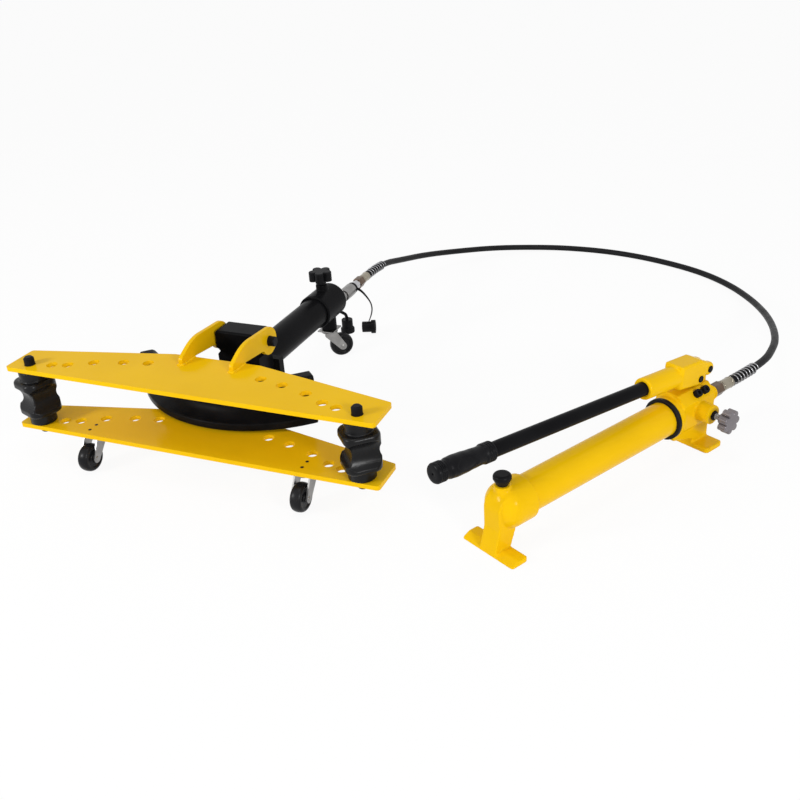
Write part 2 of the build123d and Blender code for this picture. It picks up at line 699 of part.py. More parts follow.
# Bending die: grooved ring section, web and hub with a socket for the ram
die_axis = Axis((0, DIE_CENTRE_Y, 0), (0, 0, 1))
start_angle = math.radians(-90 - DIE_HALF_ANGLE)
radial = Vector(math.cos(start_angle), math.sin(start_angle), 0)
section_plane = Plane(
    origin=(0, DIE_CENTRE_Y, AXIS_Z), x_dir=radial, z_dir=radial.cross(Vector(0, 0, 1))
)
with BuildPart() as bending_die:
    with BuildSketch(section_plane) as section:
        with BuildLine():
            Polyline(
                (DIE_R, DIE_H / 2),
                (DIE_R - DIE_RIM_TOP, DIE_H / 2),
                (DIE_R - DIE_RIM, DIE_H / 2 - DIE_RIM_SLOPE),
                (DIE_R - DIE_RIM, DIE_RIM_SLOPE - DIE_H / 2),
                (DIE_R - DIE_RIM_TOP, -DIE_H / 2),
                (DIE_R, -DIE_H / 2),
                close=True,
            )
        make_face()
        chamfer(section.vertices(), DIE_EDGE)
        with Locations((DIE_R + DIE_GROOVE_PROUD, 0)):
            Circle(DIE_GROOVE_R, mode=Mode.SUBTRACT)
    revolve(axis=die_axis, revolution_arc=2 * DIE_HALF_ANGLE)
    with BuildSketch(Plane.XY.offset(AXIS_Z - DIE_WEB_T / 2)):
        with BuildLine():
            inner_r = DIE_R - DIE_RIM + DIE_EDGE
            web_y = DIE_CENTRE_Y - math.sqrt(inner_r**2 - DIE_WEB_HALF**2)
            web_arc = ThreePointArc(
                (-DIE_WEB_HALF, web_y), (0, DIE_CENTRE_Y - inner_r), (DIE_WEB_HALF, web_y)
            )
            Polyline(
                web_arc @ 1, (DIE_HUB_W / 2, DIE_HUB_REAR_Y), (-DIE_HUB_W / 2, DIE_HUB_REAR_Y), web_arc @ 0
            )
        make_face()
    extrude(amount=DIE_WEB_T)
    hub_front_y = DIE_CENTRE_Y - DIE_R + DIE_HUB_SEAT
    with BuildSketch(facing_front(DIE_HUB_REAR_Y)):
        with Locations((0, AXIS_Z)):
            Rectangle(DIE_HUB_W, DIE_HUB_H)
    extrude(amount=DIE_HUB_REAR_Y - hub_front_y)
    with BuildSketch(facing_front(DIE_HUB_REAR_Y)):
        with Locations((0, AXIS_Z)):
            Circle(RAM_NOSE_D / 2)
    extrude(amount=RAM_NOSE_L, mode=Mode.SUBTRACT)
pieces["bending_die"] = bending_die.part

# Cylinder: barrel, end cap, piston with its seal, ram and return spring
pieces["cylinder_barrel"] = rod(BARREL_FRONT_Y, BARREL_REAR_Y, BARREL_D, BARREL_BORE)
with BuildPart() as end_cap:
    with BuildSketch(facing_front(COLLAR_REAR_Y)):
        with Locations((0, AXIS_Z)):
            Circle(BARREL_D / 2)
    extrude(amount=COLLAR_REAR_Y - BARREL_REAR_Y)
    with BuildSketch(facing_front(BARREL_REAR_Y)):
        with Locations((0, AXIS_Z)):
            Circle(BARREL_BORE / 2)
    extrude(amount=END_PLUG_L)
    with BuildSketch(facing_front(COLLAR_REAR_Y)):
        with Locations((0, PORT_Z)):
            Circle(PORT_D / 2)
    extrude(amount=END_CAP_L, mode=Mode.SUBTRACT)
pieces["cylinder_end_cap"] = end_cap.part

SEAL_MID_Y = PISTON_FRONT_Y + PISTON_L / 2
with BuildPart() as piston:
    with BuildSketch(facing_front(PISTON_REAR_Y)):
        with Locations((0, AXIS_Z)):
            Circle(BARREL_BORE / 2 - RUN_CLEAR)
    extrude(amount=PISTON_L)
    with BuildSketch(facing_front(SEAL_MID_Y + SEAL_L / 2)):
        with Locations((0, AXIS_Z)):
            Circle(BARREL_BORE / 2)
            Circle(BARREL_BORE / 2 - SEAL_DEPTH, mode=Mode.SUBTRACT)
    extrude(amount=SEAL_L, mode=Mode.SUBTRACT)
pieces["piston"] = piston.part
pieces["piston_seal"] = rod(
    SEAL_MID_Y - SEAL_L / 2,
    SEAL_MID_Y + SEAL_L / 2,
    BARREL_BORE - 2 * RUN_CLEAR,
    BARREL_BORE - 2 * SEAL_DEPTH,
)
with BuildPart() as ram:
    with BuildSketch(facing_front(PISTON_FRONT_Y)):
        with Locations((0, AXIS_Z)):
            Circle(RAM_D / 2)
    extrude(amount=PISTON_FRONT_Y - DIE_HUB_REAR_Y)
    with BuildSketch(facing_front(DIE_HUB_REAR_Y)):
        with Locations((0, AXIS_Z)):
            Circle(RAM_NOSE_D / 2)
    extrude(amount=RAM_NOSE_L)
pieces["ram"] = ram.part

spring_mean_r = (RAM_D + BARREL_BORE) / 4
spring_start_y = BARREL_FRONT_Y + RETURN_SPRING_WIRE
spring_frame = Plane(origin=(0, spring_start_y, AXIS_Z), x_dir=(1, 0, 0), z_dir=(0, 1, 0))
pieces["return_spring"] = helix_tube(
    spring_frame,
    PISTON_FRONT_Y - RETURN_SPRING_WIRE - spring_start_y,
    RETURN_SPRING_TURNS,
    spring_mean_r,
    RETURN_SPRING_WIRE,
)

# Rear collar over the barrel and end cap
with BuildPart() as rear_collar:
    with BuildSketch(facing_front(COLLAR_REAR_Y)):
        with Locations((0, AXIS_Z)):
            Circle(COLLAR_D / 2)
    extrude(amount=COLLAR_REAR_Y - COLLAR_FRONT_Y)
    chamfer(rear_collar.edges().filter_by(GeomType.CIRCLE), COLLAR_EDGE)
    with BuildSketch(Plane.XY.offset(AXIS_Z)):
        with Locations((0, COLLAR_KNOB_Y)):
            Circle(COLLAR_BOSS_D / 2)
    extrude(amount=COLLAR_D / 2 + COLLAR_BOSS_H)
    with BuildSketch(Plane.XY.offset(CASTER_H)):
        with Locations((0, REAR_CASTER_Y)):
            Circle(COLLAR_FOOT_D / 2)
    extrude(amount=AXIS_Z - CASTER_H)
    with BuildSketch(facing_front(COLLAR_REAR_Y)):
        with Locations((0, AXIS_Z)):
            Circle(BARREL_D / 2)
    extrude(amount=COLLAR_REAR_Y - COLLAR_FRONT_Y, mode=Mode.SUBTRACT)
    with BuildSketch(Plane.XY.offset(AXIS_Z)):
        with Locations((0, COLLAR_KNOB_Y)):
            Circle(COLLAR_STUD_D / 2 + RUN_CLEAR)
    extrude(amount=COLLAR_D / 2 + COLLAR_BOSS_H, mode=Mode.SUBTRACT)
pieces["rear_collar"] = rear_collar.part

KNOB_SEAT_Z = AXIS_Z + COLLAR_D / 2 + COLLAR_BOSS_H
knob_frame = Plane(origin=(0, COLLAR_KNOB_Y, KNOB_SEAT_Z + KNOB_GAP), z_dir=(0, 0, 1))
pieces["collar_knob"] = star_knob(
    knob_frame, KNOB_R, KNOB_LOBES, KNOB_LOBE_R, KNOB_H, KNOB_NECK_D, KNOB_NECK_H, COLLAR_STUD_D
)
stud_bottom = AXIS_Z + BARREL_D / 2 + STUD_END_GAP
stud_top = KNOB_SEAT_Z + KNOB_GAP + KNOB_NECK_H + KNOB_H / 2
with BuildPart() as collar_stud:
    with BuildSketch(Plane.XY.offset(stud_bottom)):
        with Locations((0, COLLAR_KNOB_Y)):
            Circle(COLLAR_STUD_D / 2)
    extrude(amount=stud_top - stud_bottom)
pieces["collar_stud"] = collar_stud.part

# Casters
CROWN_TOP = CASTER_H - CASTER_PLATE_T - RACE_H - CROWN_GAP
CROWN_BOTTOM = CROWN_TOP - CROWN_T
LEG_IN = WHEEL_W / 2 + LEG_GAP


def caster(x, y, turn, name):
    """Fork, axle and wheel that trail from the swivel at (x, y) toward the angle turn about Z."""
    swivel = Plane(origin=(x, y, 0), x_dir=(math.cos(turn), math.sin(turn), 0), z_dir=(0, 0, 1))
    side_dir = swivel.x_dir.cross(swivel.z_dir)
    side = Plane(origin=(x, y, 0), x_dir=swivel.x_dir, z_dir=side_dir)
    axle_at = (CASTER_TRAIL, WHEEL_R)

    with BuildPart() as fork:
        with BuildSketch(swivel.offset(CROWN_BOTTOM)):
            Circle(CROWN_D / 2)
            Circle(KINGPIN_D / 2 + KINGPIN_CLEAR, mode=Mode.SUBTRACT)
        extrude(amount=CROWN_T)
        for hand in (-1, 1):
            with BuildSketch(side.offset(hand * LEG_IN)):
                with Locations((-CROWN_D / 4, CROWN_TOP - LEG_TOP_R), (CROWN_D / 4, CROWN_TOP - LEG_TOP_R)):
                    Circle(LEG_TOP_R)
                with Locations(axle_at):
                    Circle(LEG_EYE_R)
                make_hull()
                with Locations(axle_at):
                    Circle(AXLE_D / 2, mode=Mode.SUBTRACT)
            extrude(amount=hand * LEG_T)
    pieces[f"caster_fork_{name}"] = fork.part

    with BuildPart() as axle:
        with BuildSketch(side.offset(-LEG_IN - LEG_T)):
            with Locations(axle_at):
                Circle(AXLE_D / 2)
        extrude(amount=2 * (LEG_IN + LEG_T))
        for hand in (-1, 1):
            with BuildSketch(side.offset(hand * (LEG_IN + LEG_T))):
                with Locations(axle_at):
                    RegularPolygon(AXLE_HEAD_D / 2, 6)
            extrude(amount=hand * AXLE_HEAD_H)
    pieces[f"caster_axle_{name}"] = axle.part

    with BuildPart() as wheel:
        with BuildSketch(side.offset(-WHEEL_W / 2)):
            with Locations(axle_at):
                Circle(WHEEL_R)
        extrude(amount=WHEEL_W)
        fillet(wheel.edges().filter_by(GeomType.CIRCLE), WHEEL_EDGE)
        for hand in (-1, 1):
            with BuildSketch(side.offset(hand * WHEEL_W / 2)):
                with Locations(axle_at):
                    Circle(WHEEL_DISH_R)
                    Circle(WHEEL_HUB_R, mode=Mode.SUBTRACT)
            extrude(amount=-hand * WHEEL_DISH, mode=Mode.SUBTRACT)
        with BuildSketch(side.offset(-WHEEL_W / 2)):
            with Locations(axle_at):
                Circle(AXLE_D / 2 + AXLE_CLEAR)
        extrude(amount=WHEEL_W, mode=Mode.SUBTRACT)
    pieces[f"caster_wheel_{name}"] = wheel.part


with BuildPart() as caster_plates:
    for x, y in (*front_casters, (0, REAR_CASTER_Y)):
        plate_at = Plane(origin=(x, y, 0), z_dir=(0, 0, 1))
        with BuildSketch(plate_at.offset(CASTER_H)):
            Rectangle(CASTER_PLATE_W, CASTER_PLATE_L)
        extrude(amount=-CASTER_PLATE_T)
        with BuildSketch(plate_at.offset(CASTER_H - CASTER_PLATE_T)):
            Circle(RACE_D / 2)
        extrude(amount=-RACE_H)
        with BuildSketch(plate_at.offset(CASTER_H - CASTER_PLATE_T - RACE_H)):
            Circle(KINGPIN_D / 2)
        extrude(amount=-(2 * CROWN_GAP + CROWN_T))
        with BuildSketch(plate_at.offset(CROWN_BOTTOM - CROWN_GAP)):
            Circle(KINGPIN_HEAD_D / 2)
        extrude(amount=-KINGPIN_HEAD_H)
    with BuildSketch(Plane.XY.offset(CASTER_H)):
        with Locations(*caster_screw_points):
            Circle(CASTER_SCREW_D / 2 + BOLT_CLEAR)
    extrude(amount=-CASTER_PLATE_T, mode=Mode.SUBTRACT)
pieces["caster_plates"] = caster_plates.part

caster(-FRONT_CASTER_X, FRONT_CASTER_Y, math.radians(-90), "left")
caster(FRONT_CASTER_X, FRONT_CASTER_Y, math.radians(-90), "right")
caster(0, REAR_CASTER_Y, math.radians(REAR_CASTER_ANGLE), "rear")

with BuildPart() as caster_screws:
    for x, y in caster_screw_points:
        with BuildSketch(Plane.XY.offset(CASTER_H - CASTER_PLATE_T)):
            with Locations((x, y)):
                Circle(CASTER_SCREW_D / 2)
        extrude(amount=CASTER_PLATE_T + WING_T)
        with BuildSketch(Plane.XY.offset(LOWER_TOP)):
            with Locations((x, y)):
                Circle(CASTER_SCREW_HEAD_D / 2)
        extrude(amount=-(CASTER_SCREW_HEAD_D - CASTER_SCREW_D) / 2, taper=45)
pieces["caster_screws"] = caster_screws.part

# Quick coupler: female half with a turning sleeve, male half, nut and ferrule
FEMALE_START_Y = COLLAR_REAR_Y + COUPLER_NECK_L
MALE_START_Y = FEMALE_START_Y + COUPLER_L
NUT_START_Y = MALE_START_Y + MALE_L
SLEEVE_START_Y = MALE_START_Y - SLEEVE_L
with BuildPart() as coupler_female:
    with BuildSketch(facing_front(MALE_START_Y)):
        with Locations((0, PORT_Z)):
            Circle(COUPLER_D / 2)
    extrude(amount=COUPLER_L)
    with BuildSketch(facing_front(FEMALE_START_Y)):
        with Locations((0, PORT_Z)):
            Circle(COUPLER_NECK_D / 2)
    extrude(amount=COUPLER_NECK_L)
pieces["coupler_female"] = coupler_female.part
pieces["coupler_sleeve"] = rod(
    SLEEVE_START_Y, MALE_START_Y, SLEEVE_D, COUPLER_D + 2 * SLEEVE_CLEAR, PORT_Z
)
pieces["coupler_male"] = rod(MALE_START_Y, NUT_START_Y, MALE_D, axis_z=PORT_Z)
female_ring_y = FEMALE_START_Y + CAP_RING_GAP
male_ring_y = MALE_START_Y + CAP_RING_GAP
with BuildPart() as cap_rings:
    for ring_y, inner_d in ((female_ring_y, COUPLER_D), (male_ring_y, MALE_D)):
        with BuildSketch(facing_front(ring_y + CAP_RING_W)):
            with Locations((0, PORT_Z)):
                Circle(inner_d / 2 + CAP_RING_T)
                Circle(inner_d / 2, mode=Mode.SUBTRACT)
        extrude(amount=CAP_RING_W)
pieces["cap_rings"] = cap_rings.part


def hose_guard(frame, turns, pitch):
    """Open spring round the hose after the ferrule."""
    mean_r = HOSE_D / 2 + GUARD_CLEAR + GUARD_WIRE / 2
    start = frame.offset(NUT_L + FERRULE_L + GUARD_WIRE)
    return helix_tube(start, turns * pitch, turns, mean_r, GUARD_WIRE)


hose_end_a = Plane(origin=(0, NUT_START_Y, PORT_Z), x_dir=(1, 0, 0), z_dir=(0, 1, 0))
pump_place = Location((PUMP_X, PUMP_Y, 0), (0, 0, PUMP_ANGLE))
pump_frame = Plane(pump_place)
port_point = pump_frame.from_local_coords(Vector(HEAD_REAR_X + HOSE_PORT_L, HOSE_PORT_Y, HOSE_PORT_Z))
hose_end_b = Plane(origin=port_point, x_dir=pump_frame.y_dir, z_dir=pump_frame.x_dir)
hose_ends = (hose_end_a, hose_end_b)

# Hexagon nuts and crimped ferrules at both ends of the hose
with BuildPart() as hose_nuts:
    for end in hose_ends:
        with BuildSketch(end):
            RegularPolygon(NUT_WIDTH / 2, 6, major_radius=False)
        extrude(amount=NUT_L)
cord_pieces["hose_nuts"] = hose_nuts.part
with BuildPart() as hose_ferrules:
    for end in hose_ends:
        with BuildSketch(end.offset(NUT_L)):
            Circle(FERRULE_D / 2)
        extrude(amount=FERRULE_L)
cord_pieces["hose_ferrules"] = hose_ferrules.part
guard_a = hose_guard(hose_end_a, GUARD_A_TURNS, GUARD_A_PITCH)
guard_b = hose_guard(hose_end_b, GUARD_B_TURNS, GUARD_B_PITCH)
cord_pieces["hose_guards"] = Part([guard_a.solid(), guard_b.solid()])

# Hose route from the cylinder's ferrule over the floor to the pump's ferrule
hose_from = hose_end_a.offset(NUT_L + FERRULE_L).origin
hose_to = hose_end_b.offset(NUT_L + FERRULE_L).origin
HOSE_ROUTE = [
    (0.0, 870.0, PORT_Z),
    (6.0, 935.0, 82.0),
    (27.0, 1032.0, 56.0),
    (74.0, 1138.0, 36.0),
    (146.0, 1230.0, 20.0),
    (240.0, 1302.0, HOSE_FLOOR_Z),
    (334.0, 1316.0, HOSE_FLOOR_Z),
    (430.0, 1306.0, HOSE_FLOOR_Z),
    (528.0, 1281.0, HOSE_FLOOR_Z),
    (622.0, 1249.0, HOSE_FLOOR_Z),
    (702.0, 1199.0, HOSE_FLOOR_Z),
    (768.0, 1131.0, HOSE_FLOOR_Z),
    (818.0, 1046.0, 12.0),
    (852.0, 946.0, 28.0),
    (873.0, 826.0, 50.0),
    (884.0, 716.0, 71.0),
    (886.0, 646.0, 83.0),
    tuple(hose_end_b.offset(NUT_L + FERRULE_L + HOSE_STRAIGHT).origin),
]
cord_pieces["hose"] = cord_tube([tuple(hose_from), *HOSE_ROUTE, tuple(hose_to)], HOSE_D, "hose")


def dust_cap(frame):
    """Cap with an open, wider mouth at the frame's origin, along its z axis."""
    with BuildPart() as cap:
        with BuildSketch(frame):
            Circle(CAP_D / 2)
        extrude(amount=CAP_H)
        with BuildSketch(frame):
            Circle(CAP_RIM_D / 2)
        extrude(amount=CAP_RIM_H)
        with BuildSketch(frame):
            Circle(CAP_D / 2 - CAP_RING_T)
        extrude(amount=CAP_H - 2 * CAP_RING_T, mode=Mode.SUBTRACT)
    return cap.part


# Dust caps hang on rubber straps from rings on the two coupler halves
strap_top_r = COUPLER_D / 2 + CAP_RING_T
female_mid_y = female_ring_y + CAP_RING_W / 2
male_mid_y = male_ring_y + CAP_RING_W / 2
male_top_r = MALE_D / 2 + CAP_RING_T
female_strap_points = [
    (0.0, female_mid_y, PORT_Z - strap_top_r),
    (0.0, female_mid_y, 85.0),
    (4.5, 600.5, 77.5),
    (FEMALE_CAP_AT[0], FEMALE_CAP_AT[1], 70.0),
    (FEMALE_CAP_AT[0], FEMALE_CAP_AT[1], FEMALE_CAP_AT[2] + CAP_H / 2),
]
male_strap_points = [
    (male_top_r, male_mid_y, PORT_Z),
    (24.0, male_mid_y, PORT_Z),
    (36.0, 669.0, 95.0),
    (41.0, 671.0, 73.0),
    (37.0, 673.0, 50.0),
    (MALE_CAP_AT[0], MALE_CAP_AT[1], MALE_CAP_AT[2] + CAP_D / 2),
]
hanging = Plane(
    origin=(FEMALE_CAP_AT[0], FEMALE_CAP_AT[1], FEMALE_CAP_AT[2] - CAP_H / 2), z_dir=(0, 0, 1)
)
lying_dir = Vector(math.cos(MALE_CAP_ANGLE), math.sin(MALE_CAP_ANGLE), 0)
lying = Plane(origin=Vector(*MALE_CAP_AT) - lying_dir * (CAP_H / 2), x_dir=(0, 0, 1), z_dir=lying_dir)
for label, frame, points in (
    ("female", hanging, female_strap_points),
    ("male", lying, male_strap_points),
):
    cord_pieces[f"dust_cap_{label}"] = dust_cap(frame)
    cord_pieces[f"cap_strap_{label}"] = cord_tube(points, STRAP_D, f"cap_strap_{label}")

# Pump, in its own frame
pump = {}


def along_tank(x):
    """Plane across the reservoir at x, facing the pump head: its x is the pump's Y, its y is Z."""
    return Plane(origin=(x, 0, 0), x_dir=(0, 1, 0), z_dir=(1, 0, 0))


def tank_rod(start_x, end_x, z, diameter, bore=0.0):
    """Round bar or tube along the reservoir."""
    with BuildPart() as bar:
        with BuildSketch(along_tank(start_x)):
            with Locations((0, z)):
                Circle(diameter / 2)
                if bore > 0:
                    Circle(bore / 2, mode=Mode.SUBTRACT)
        extrude(amount=end_x - start_x)
    return bar.part


pump["reservoir_tube"] = tank_rod(TANK_FRONT_X, TANK_REAR_X, TANK_Z, TANK_D, TANK_BORE)
pump["reservoir_gasket"] = tank_rod(GASKET_X, GASKET_X + GASKET_T, TANK_Z, GASKET_D, TANK_D)

# Front cap: cup with a domed nose, leg, foot and filler neck
with BuildPart() as front_cap:
    with BuildSketch() as front_foot:
        with Locations((FRONT_TOE_DEPTH / 2, 0)):
            Rectangle(FRONT_TOE_DEPTH, 2 * FOOT_HALF)
        fillet(front_foot.vertices(), TOE_CORNER_R)
    extrude(amount=FOOT_T)
    with BuildSketch(Plane.XZ):
        with BuildLine():
            Polyline((0, TOE_LIP), (TOE_BEVEL, FOOT_T), (0, FOOT_T), close=True)
        make_face()
    extrude(amount=FOOT_HALF, both=True, mode=Mode.SUBTRACT)
    with BuildSketch(Plane.XZ):
        with BuildLine():
            cup_r = CUP_D / 2
            dome_x = NOSE_X + CUP_DOME
            EllipticalCenterArc((dome_x, TANK_Z), CUP_DOME, cup_r, start_angle=90, arc_size=90)
            Polyline(
                (dome_x, TANK_Z + cup_r),
                (CUP_REAR_X, TANK_Z + cup_r),
                (CUP_REAR_X, TANK_Z),
                (NOSE_X, TANK_Z),
            )
        make_face()
    revolve(axis=Axis((0, 0, TANK_Z), (1, 0, 0)))
    with BuildSketch(Plane.XZ):
        with BuildLine():
            web_front = (NOSE_X - WEB_PROUD, TANK_Z)
            web_reach = CUP_DOME + WEB_PROUD
            web_rise = math.sqrt(cup_r**2 - WEB_HALF**2) - WEB_SINK
            EllipticalCenterArc((dome_x, TANK_Z), web_reach, web_rise, start_angle=90, arc_size=90)
            Polyline(
                web_front,
                (ANKLE_X, ANKLE_Z),
                (0, 0),
                (FRONT_TOE_DEPTH, 0),
                (WEB_BACK_X, TANK_Z - cup_r),
                (WEB_BACK_X, TANK_Z + web_rise),
                (dome_x, TANK_Z + web_rise),
            )
        make_face()
    extrude(amount=WEB_HALF, both=True)
    with BuildSketch(Plane.XY.offset(TANK_Z)):
        with Locations((FILLER_X, 0)):
            Circle(FILLER_D / 2)
    extrude(amount=FILLER_TOP - TANK_Z)
    with BuildSketch(along_tank(TANK_FRONT_X)):
        with Locations((0, TANK_Z)):
            Circle(TANK_D / 2)
    extrude(amount=CUP_REAR_X - TANK_FRONT_X, mode=Mode.SUBTRACT)
    with BuildSketch(along_tank(TANK_FRONT_X - TIE_ROD_SEAT)):
        with Locations((0, TANK_Z)):
            Circle(TIE_ROD_D / 2)
    extrude(amount=TIE_ROD_SEAT, mode=Mode.SUBTRACT)
    with BuildSketch(Plane.XY.offset(FILLER_TOP)):
        with Locations((FILLER_X, 0)):
            Circle(FILLER_STEM_D / 2 + RUN_CLEAR)
    extrude(amount=-FILLER_STEM_L - RUN_CLEAR, mode=Mode.SUBTRACT)
pump["pump_front_cap"] = front_cap.part

vent_z = FILLER_TOP + VENT_SEAT_GAP
with BuildPart() as vent_cap:
    with BuildSketch(Plane.XZ):
        with BuildLine():
            top_z = vent_z + VENT_BASE_H + VENT_RIM_H
            dome_start = (FILLER_X + VENT_D / 2 - VENT_DOME, top_z)
            Polyline(
                (FILLER_X, FILLER_TOP - FILLER_STEM_L),
                (FILLER_X + FILLER_STEM_D / 2, FILLER_TOP - FILLER_STEM_L),
                (FILLER_X + FILLER_STEM_D / 2, vent_z),
                (FILLER_X + VENT_BASE_D / 2, vent_z),
                (FILLER_X + VENT_D / 2, vent_z + VENT_BASE_H),
                (FILLER_X + VENT_D / 2, top_z - VENT_DOME),
            )
            RadiusArc((FILLER_X + VENT_D / 2, top_z - VENT_DOME), dome_start, -VENT_DOME)
            Polyline(dome_start, (FILLER_X, top_z), (FILLER_X, FILLER_TOP - FILLER_STEM_L))
        make_face()
    revolve(axis=Axis((FILLER_X, 0, 0), (0, 0, 1)))
pump["vent_cap"] = vent_cap.part

# Pump head: flange on the gasket, body with chamfered shoulders, foot, ear and bosses
with BuildPart() as pump_head:
    with BuildSketch(along_tank(HEAD_FRONT_X)):
        with Locations((0, TANK_Z)):
            Circle(GASKET_D / 2)
    extrude(amount=FLANGE_L)
    with BuildSketch(along_tank(HEAD_FRONT_X + FLANGE_L)):
        with BuildLine():
            shoulder = HEAD_HALF - HEAD_CHAMFER
            belly = HEAD_HALF - BELLY_CHAMFER
            head_bottom = TANK_Z - HEAD_HALF
            Polyline(
                (-belly, head_bottom),
                (belly, head_bottom),
                (HEAD_HALF, head_bottom + BELLY_CHAMFER),
                (HEAD_HALF, HEAD_TOP - HEAD_CHAMFER),
                (shoulder, HEAD_TOP),
                (-shoulder, HEAD_TOP),
                (-HEAD_HALF, HEAD_TOP - HEAD_CHAMFER),
                (-HEAD_HALF, head_bottom + BELLY_CHAMFER),
                close=True,
            )
        make_face()
    extrude(amount=HEAD_REAR_X - HEAD_FRONT_X - FLANGE_L)
    with BuildSketch(Plane.XZ):
        with BuildLine():
            Polyline(
                (REAR_TOE_X, 0),
                (HEAD_REAR_X, 0),
                (HEAD_REAR_X, TANK_Z),
                (HEAD_FRONT_X, TANK_Z),
                (HEAD_FRONT_X, TANK_Z - GASKET_D / 2),
                (REAR_TOE_X, 2 * FOOT_T),
                close=True,
            )
        make_face()
    extrude(amount=COLUMN_HALF, both=True)
    with BuildSketch() as rear_foot:
        with Locations(((REAR_TOE_X + HEAD_REAR_X) / 2, 0)):
            Rectangle(REAR_TOE_DEPTH, 2 * FOOT_HALF)
        fillet(rear_foot.vertices(), FOOT_CORNER_R)
    extrude(amount=FOOT_T)
    with BuildSketch(Plane.XZ):
        with Locations((FULCRUM_X, FULCRUM_Z)):
            Circle(EAR_R)
        with Locations((FULCRUM_X, (FULCRUM_Z + TANK_Z) / 2)):
            Rectangle(2 * EAR_R, FULCRUM_Z - TANK_Z)
    extrude(amount=EAR_HALF, both=True)
    with BuildSketch(Plane.XZ.offset(HEAD_HALF / 2)):
        with Locations((VALVE_X, VALVE_Z)):
            Circle(VALVE_BOSS_D / 2)
    extrude(amount=VALVE_BOSS_OUT - HEAD_HALF / 2)
    with BuildSketch(along_tank(HEAD_REAR_X)):
        with Locations((HOSE_PORT_Y, HOSE_PORT_Z)):
            Circle(HOSE_PORT_D / 2)
    extrude(amount=HOSE_PORT_L)
    with BuildSketch(Plane.XY.offset(HEAD_TOP)):
        with Locations((PLUNGER_X, 0)):
            Circle(PLUNGER_D / 2 + RUN_CLEAR)
    extrude(amount=-(PLUNGER_DEPTH + PLUNGER_FLOOR_GAP), mode=Mode.SUBTRACT)
    with BuildSketch(along_tank(HEAD_FRONT_X)):
        with Locations((0, TANK_Z)):
            Circle(TANK_D / 2)
    extrude(amount=TANK_REAR_X - HEAD_FRONT_X, mode=Mode.SUBTRACT)
    with BuildSketch(along_tank(TANK_REAR_X)):
        with Locations((0, TANK_Z)):
            Circle(TIE_ROD_D / 2)
    extrude(amount=TIE_ROD_SEAT, mode=Mode.SUBTRACT)
    with BuildSketch(Plane.XZ):
        with Locations((FULCRUM_X, FULCRUM_Z)):
            Circle(LEVER_PIN_D / 2 + HINGE_CLEAR)
    extrude(amount=EAR_HALF, both=True, mode=Mode.SUBTRACT)
    with BuildSketch(Plane.XZ.offset(VALVE_BOSS_OUT)):
        with Locations((VALVE_X, VALVE_Z)):
            Circle(SPINDLE_D / 2 + RUN_CLEAR)
    extrude(amount=SPINDLE_IN - VALVE_BOSS_OUT, mode=Mode.SUBTRACT)
pump["pump_head"] = pump_head.part

# Plunger with its slotted eye, and the two lever pins
neck_z = PLUNGER_PIN_Z - LEVER_LOBE_R - PLUNGER_SHOULDER
with BuildPart() as plunger:
    with BuildSketch(Plane.XY.offset(PLUNGER_BOTTOM)):
        with Locations((PLUNGER_X, 0)):
            Circle(PLUNGER_D / 2)
    extrude(amount=neck_z - PLUNGER_BOTTOM)
    with BuildSketch(Plane.XZ):
        with Locations((PLUNGER_X, PLUNGER_PIN_Z)):
            Circle(PLUNGER_EYE_R)
        with Locations((PLUNGER_X, (PLUNGER_PIN_Z + neck_z) / 2)):
            Rectangle(PLUNGER_D, PLUNGER_PIN_Z - neck_z)
        with Locations((PLUNGER_X, PLUNGER_PIN_Z)):
            SlotCenterToCenter(
                2 * PLUNGER_SLOT, LEVER_PIN_D + 2 * PLUNGER_SLOT_CLEAR, mode=Mode.SUBTRACT
            )
    extrude(amount=PLUNGER_EYE_HALF, both=True)
pump["plunger"] = plunger.part
with BuildPart() as lever_pins:
    with BuildSketch(Plane.XZ):
        with Locations((FULCRUM_X, FULCRUM_Z), (PLUNGER_X, PLUNGER_PIN_Z)):
            Circle(LEVER_PIN_D / 2)
    extrude(amount=LEVER_HALF + PIN_PROUD, both=True)
pump["lever_pins"] = lever_pins.part

# Release valve on the right: gland, spindle and lobed knob
with BuildPart() as valve_gland:
    with BuildSketch(Plane.XZ.offset(VALVE_BOSS_OUT)):
        with Locations((VALVE_X, VALVE_Z)):
            RegularPolygon(VALVE_GLAND_D / 2, 6)
            Circle(SPINDLE_D / 2 + RUN_CLEAR, mode=Mode.SUBTRACT)
    extrude(amount=VALVE_GLAND_L)
pump["release_gland"] = valve_gland.part
with BuildPart() as valve_spindle:
    with BuildSketch(Plane.XZ.offset(SPINDLE_IN + RUN_CLEAR)):
        with Locations((VALVE_X, VALVE_Z)):
            Circle(SPINDLE_D / 2)
    extrude(amount=SPINDLE_OUT + STAR_T / 2 - SPINDLE_IN - RUN_CLEAR)
pump["release_spindle"] = valve_spindle.part
star_frame = Plane(origin=(VALVE_X, -SPINDLE_OUT + STAR_NECK_L, VALVE_Z), x_dir=(1, 0, 0), z_dir=(0, -1, 0))
pump["release_knob"] = star_knob(
    star_frame, STAR_R, STAR_LOBES, STAR_LOBE_R, STAR_T, STAR_NECK_D, STAR_NECK_L, SPINDLE_D
)

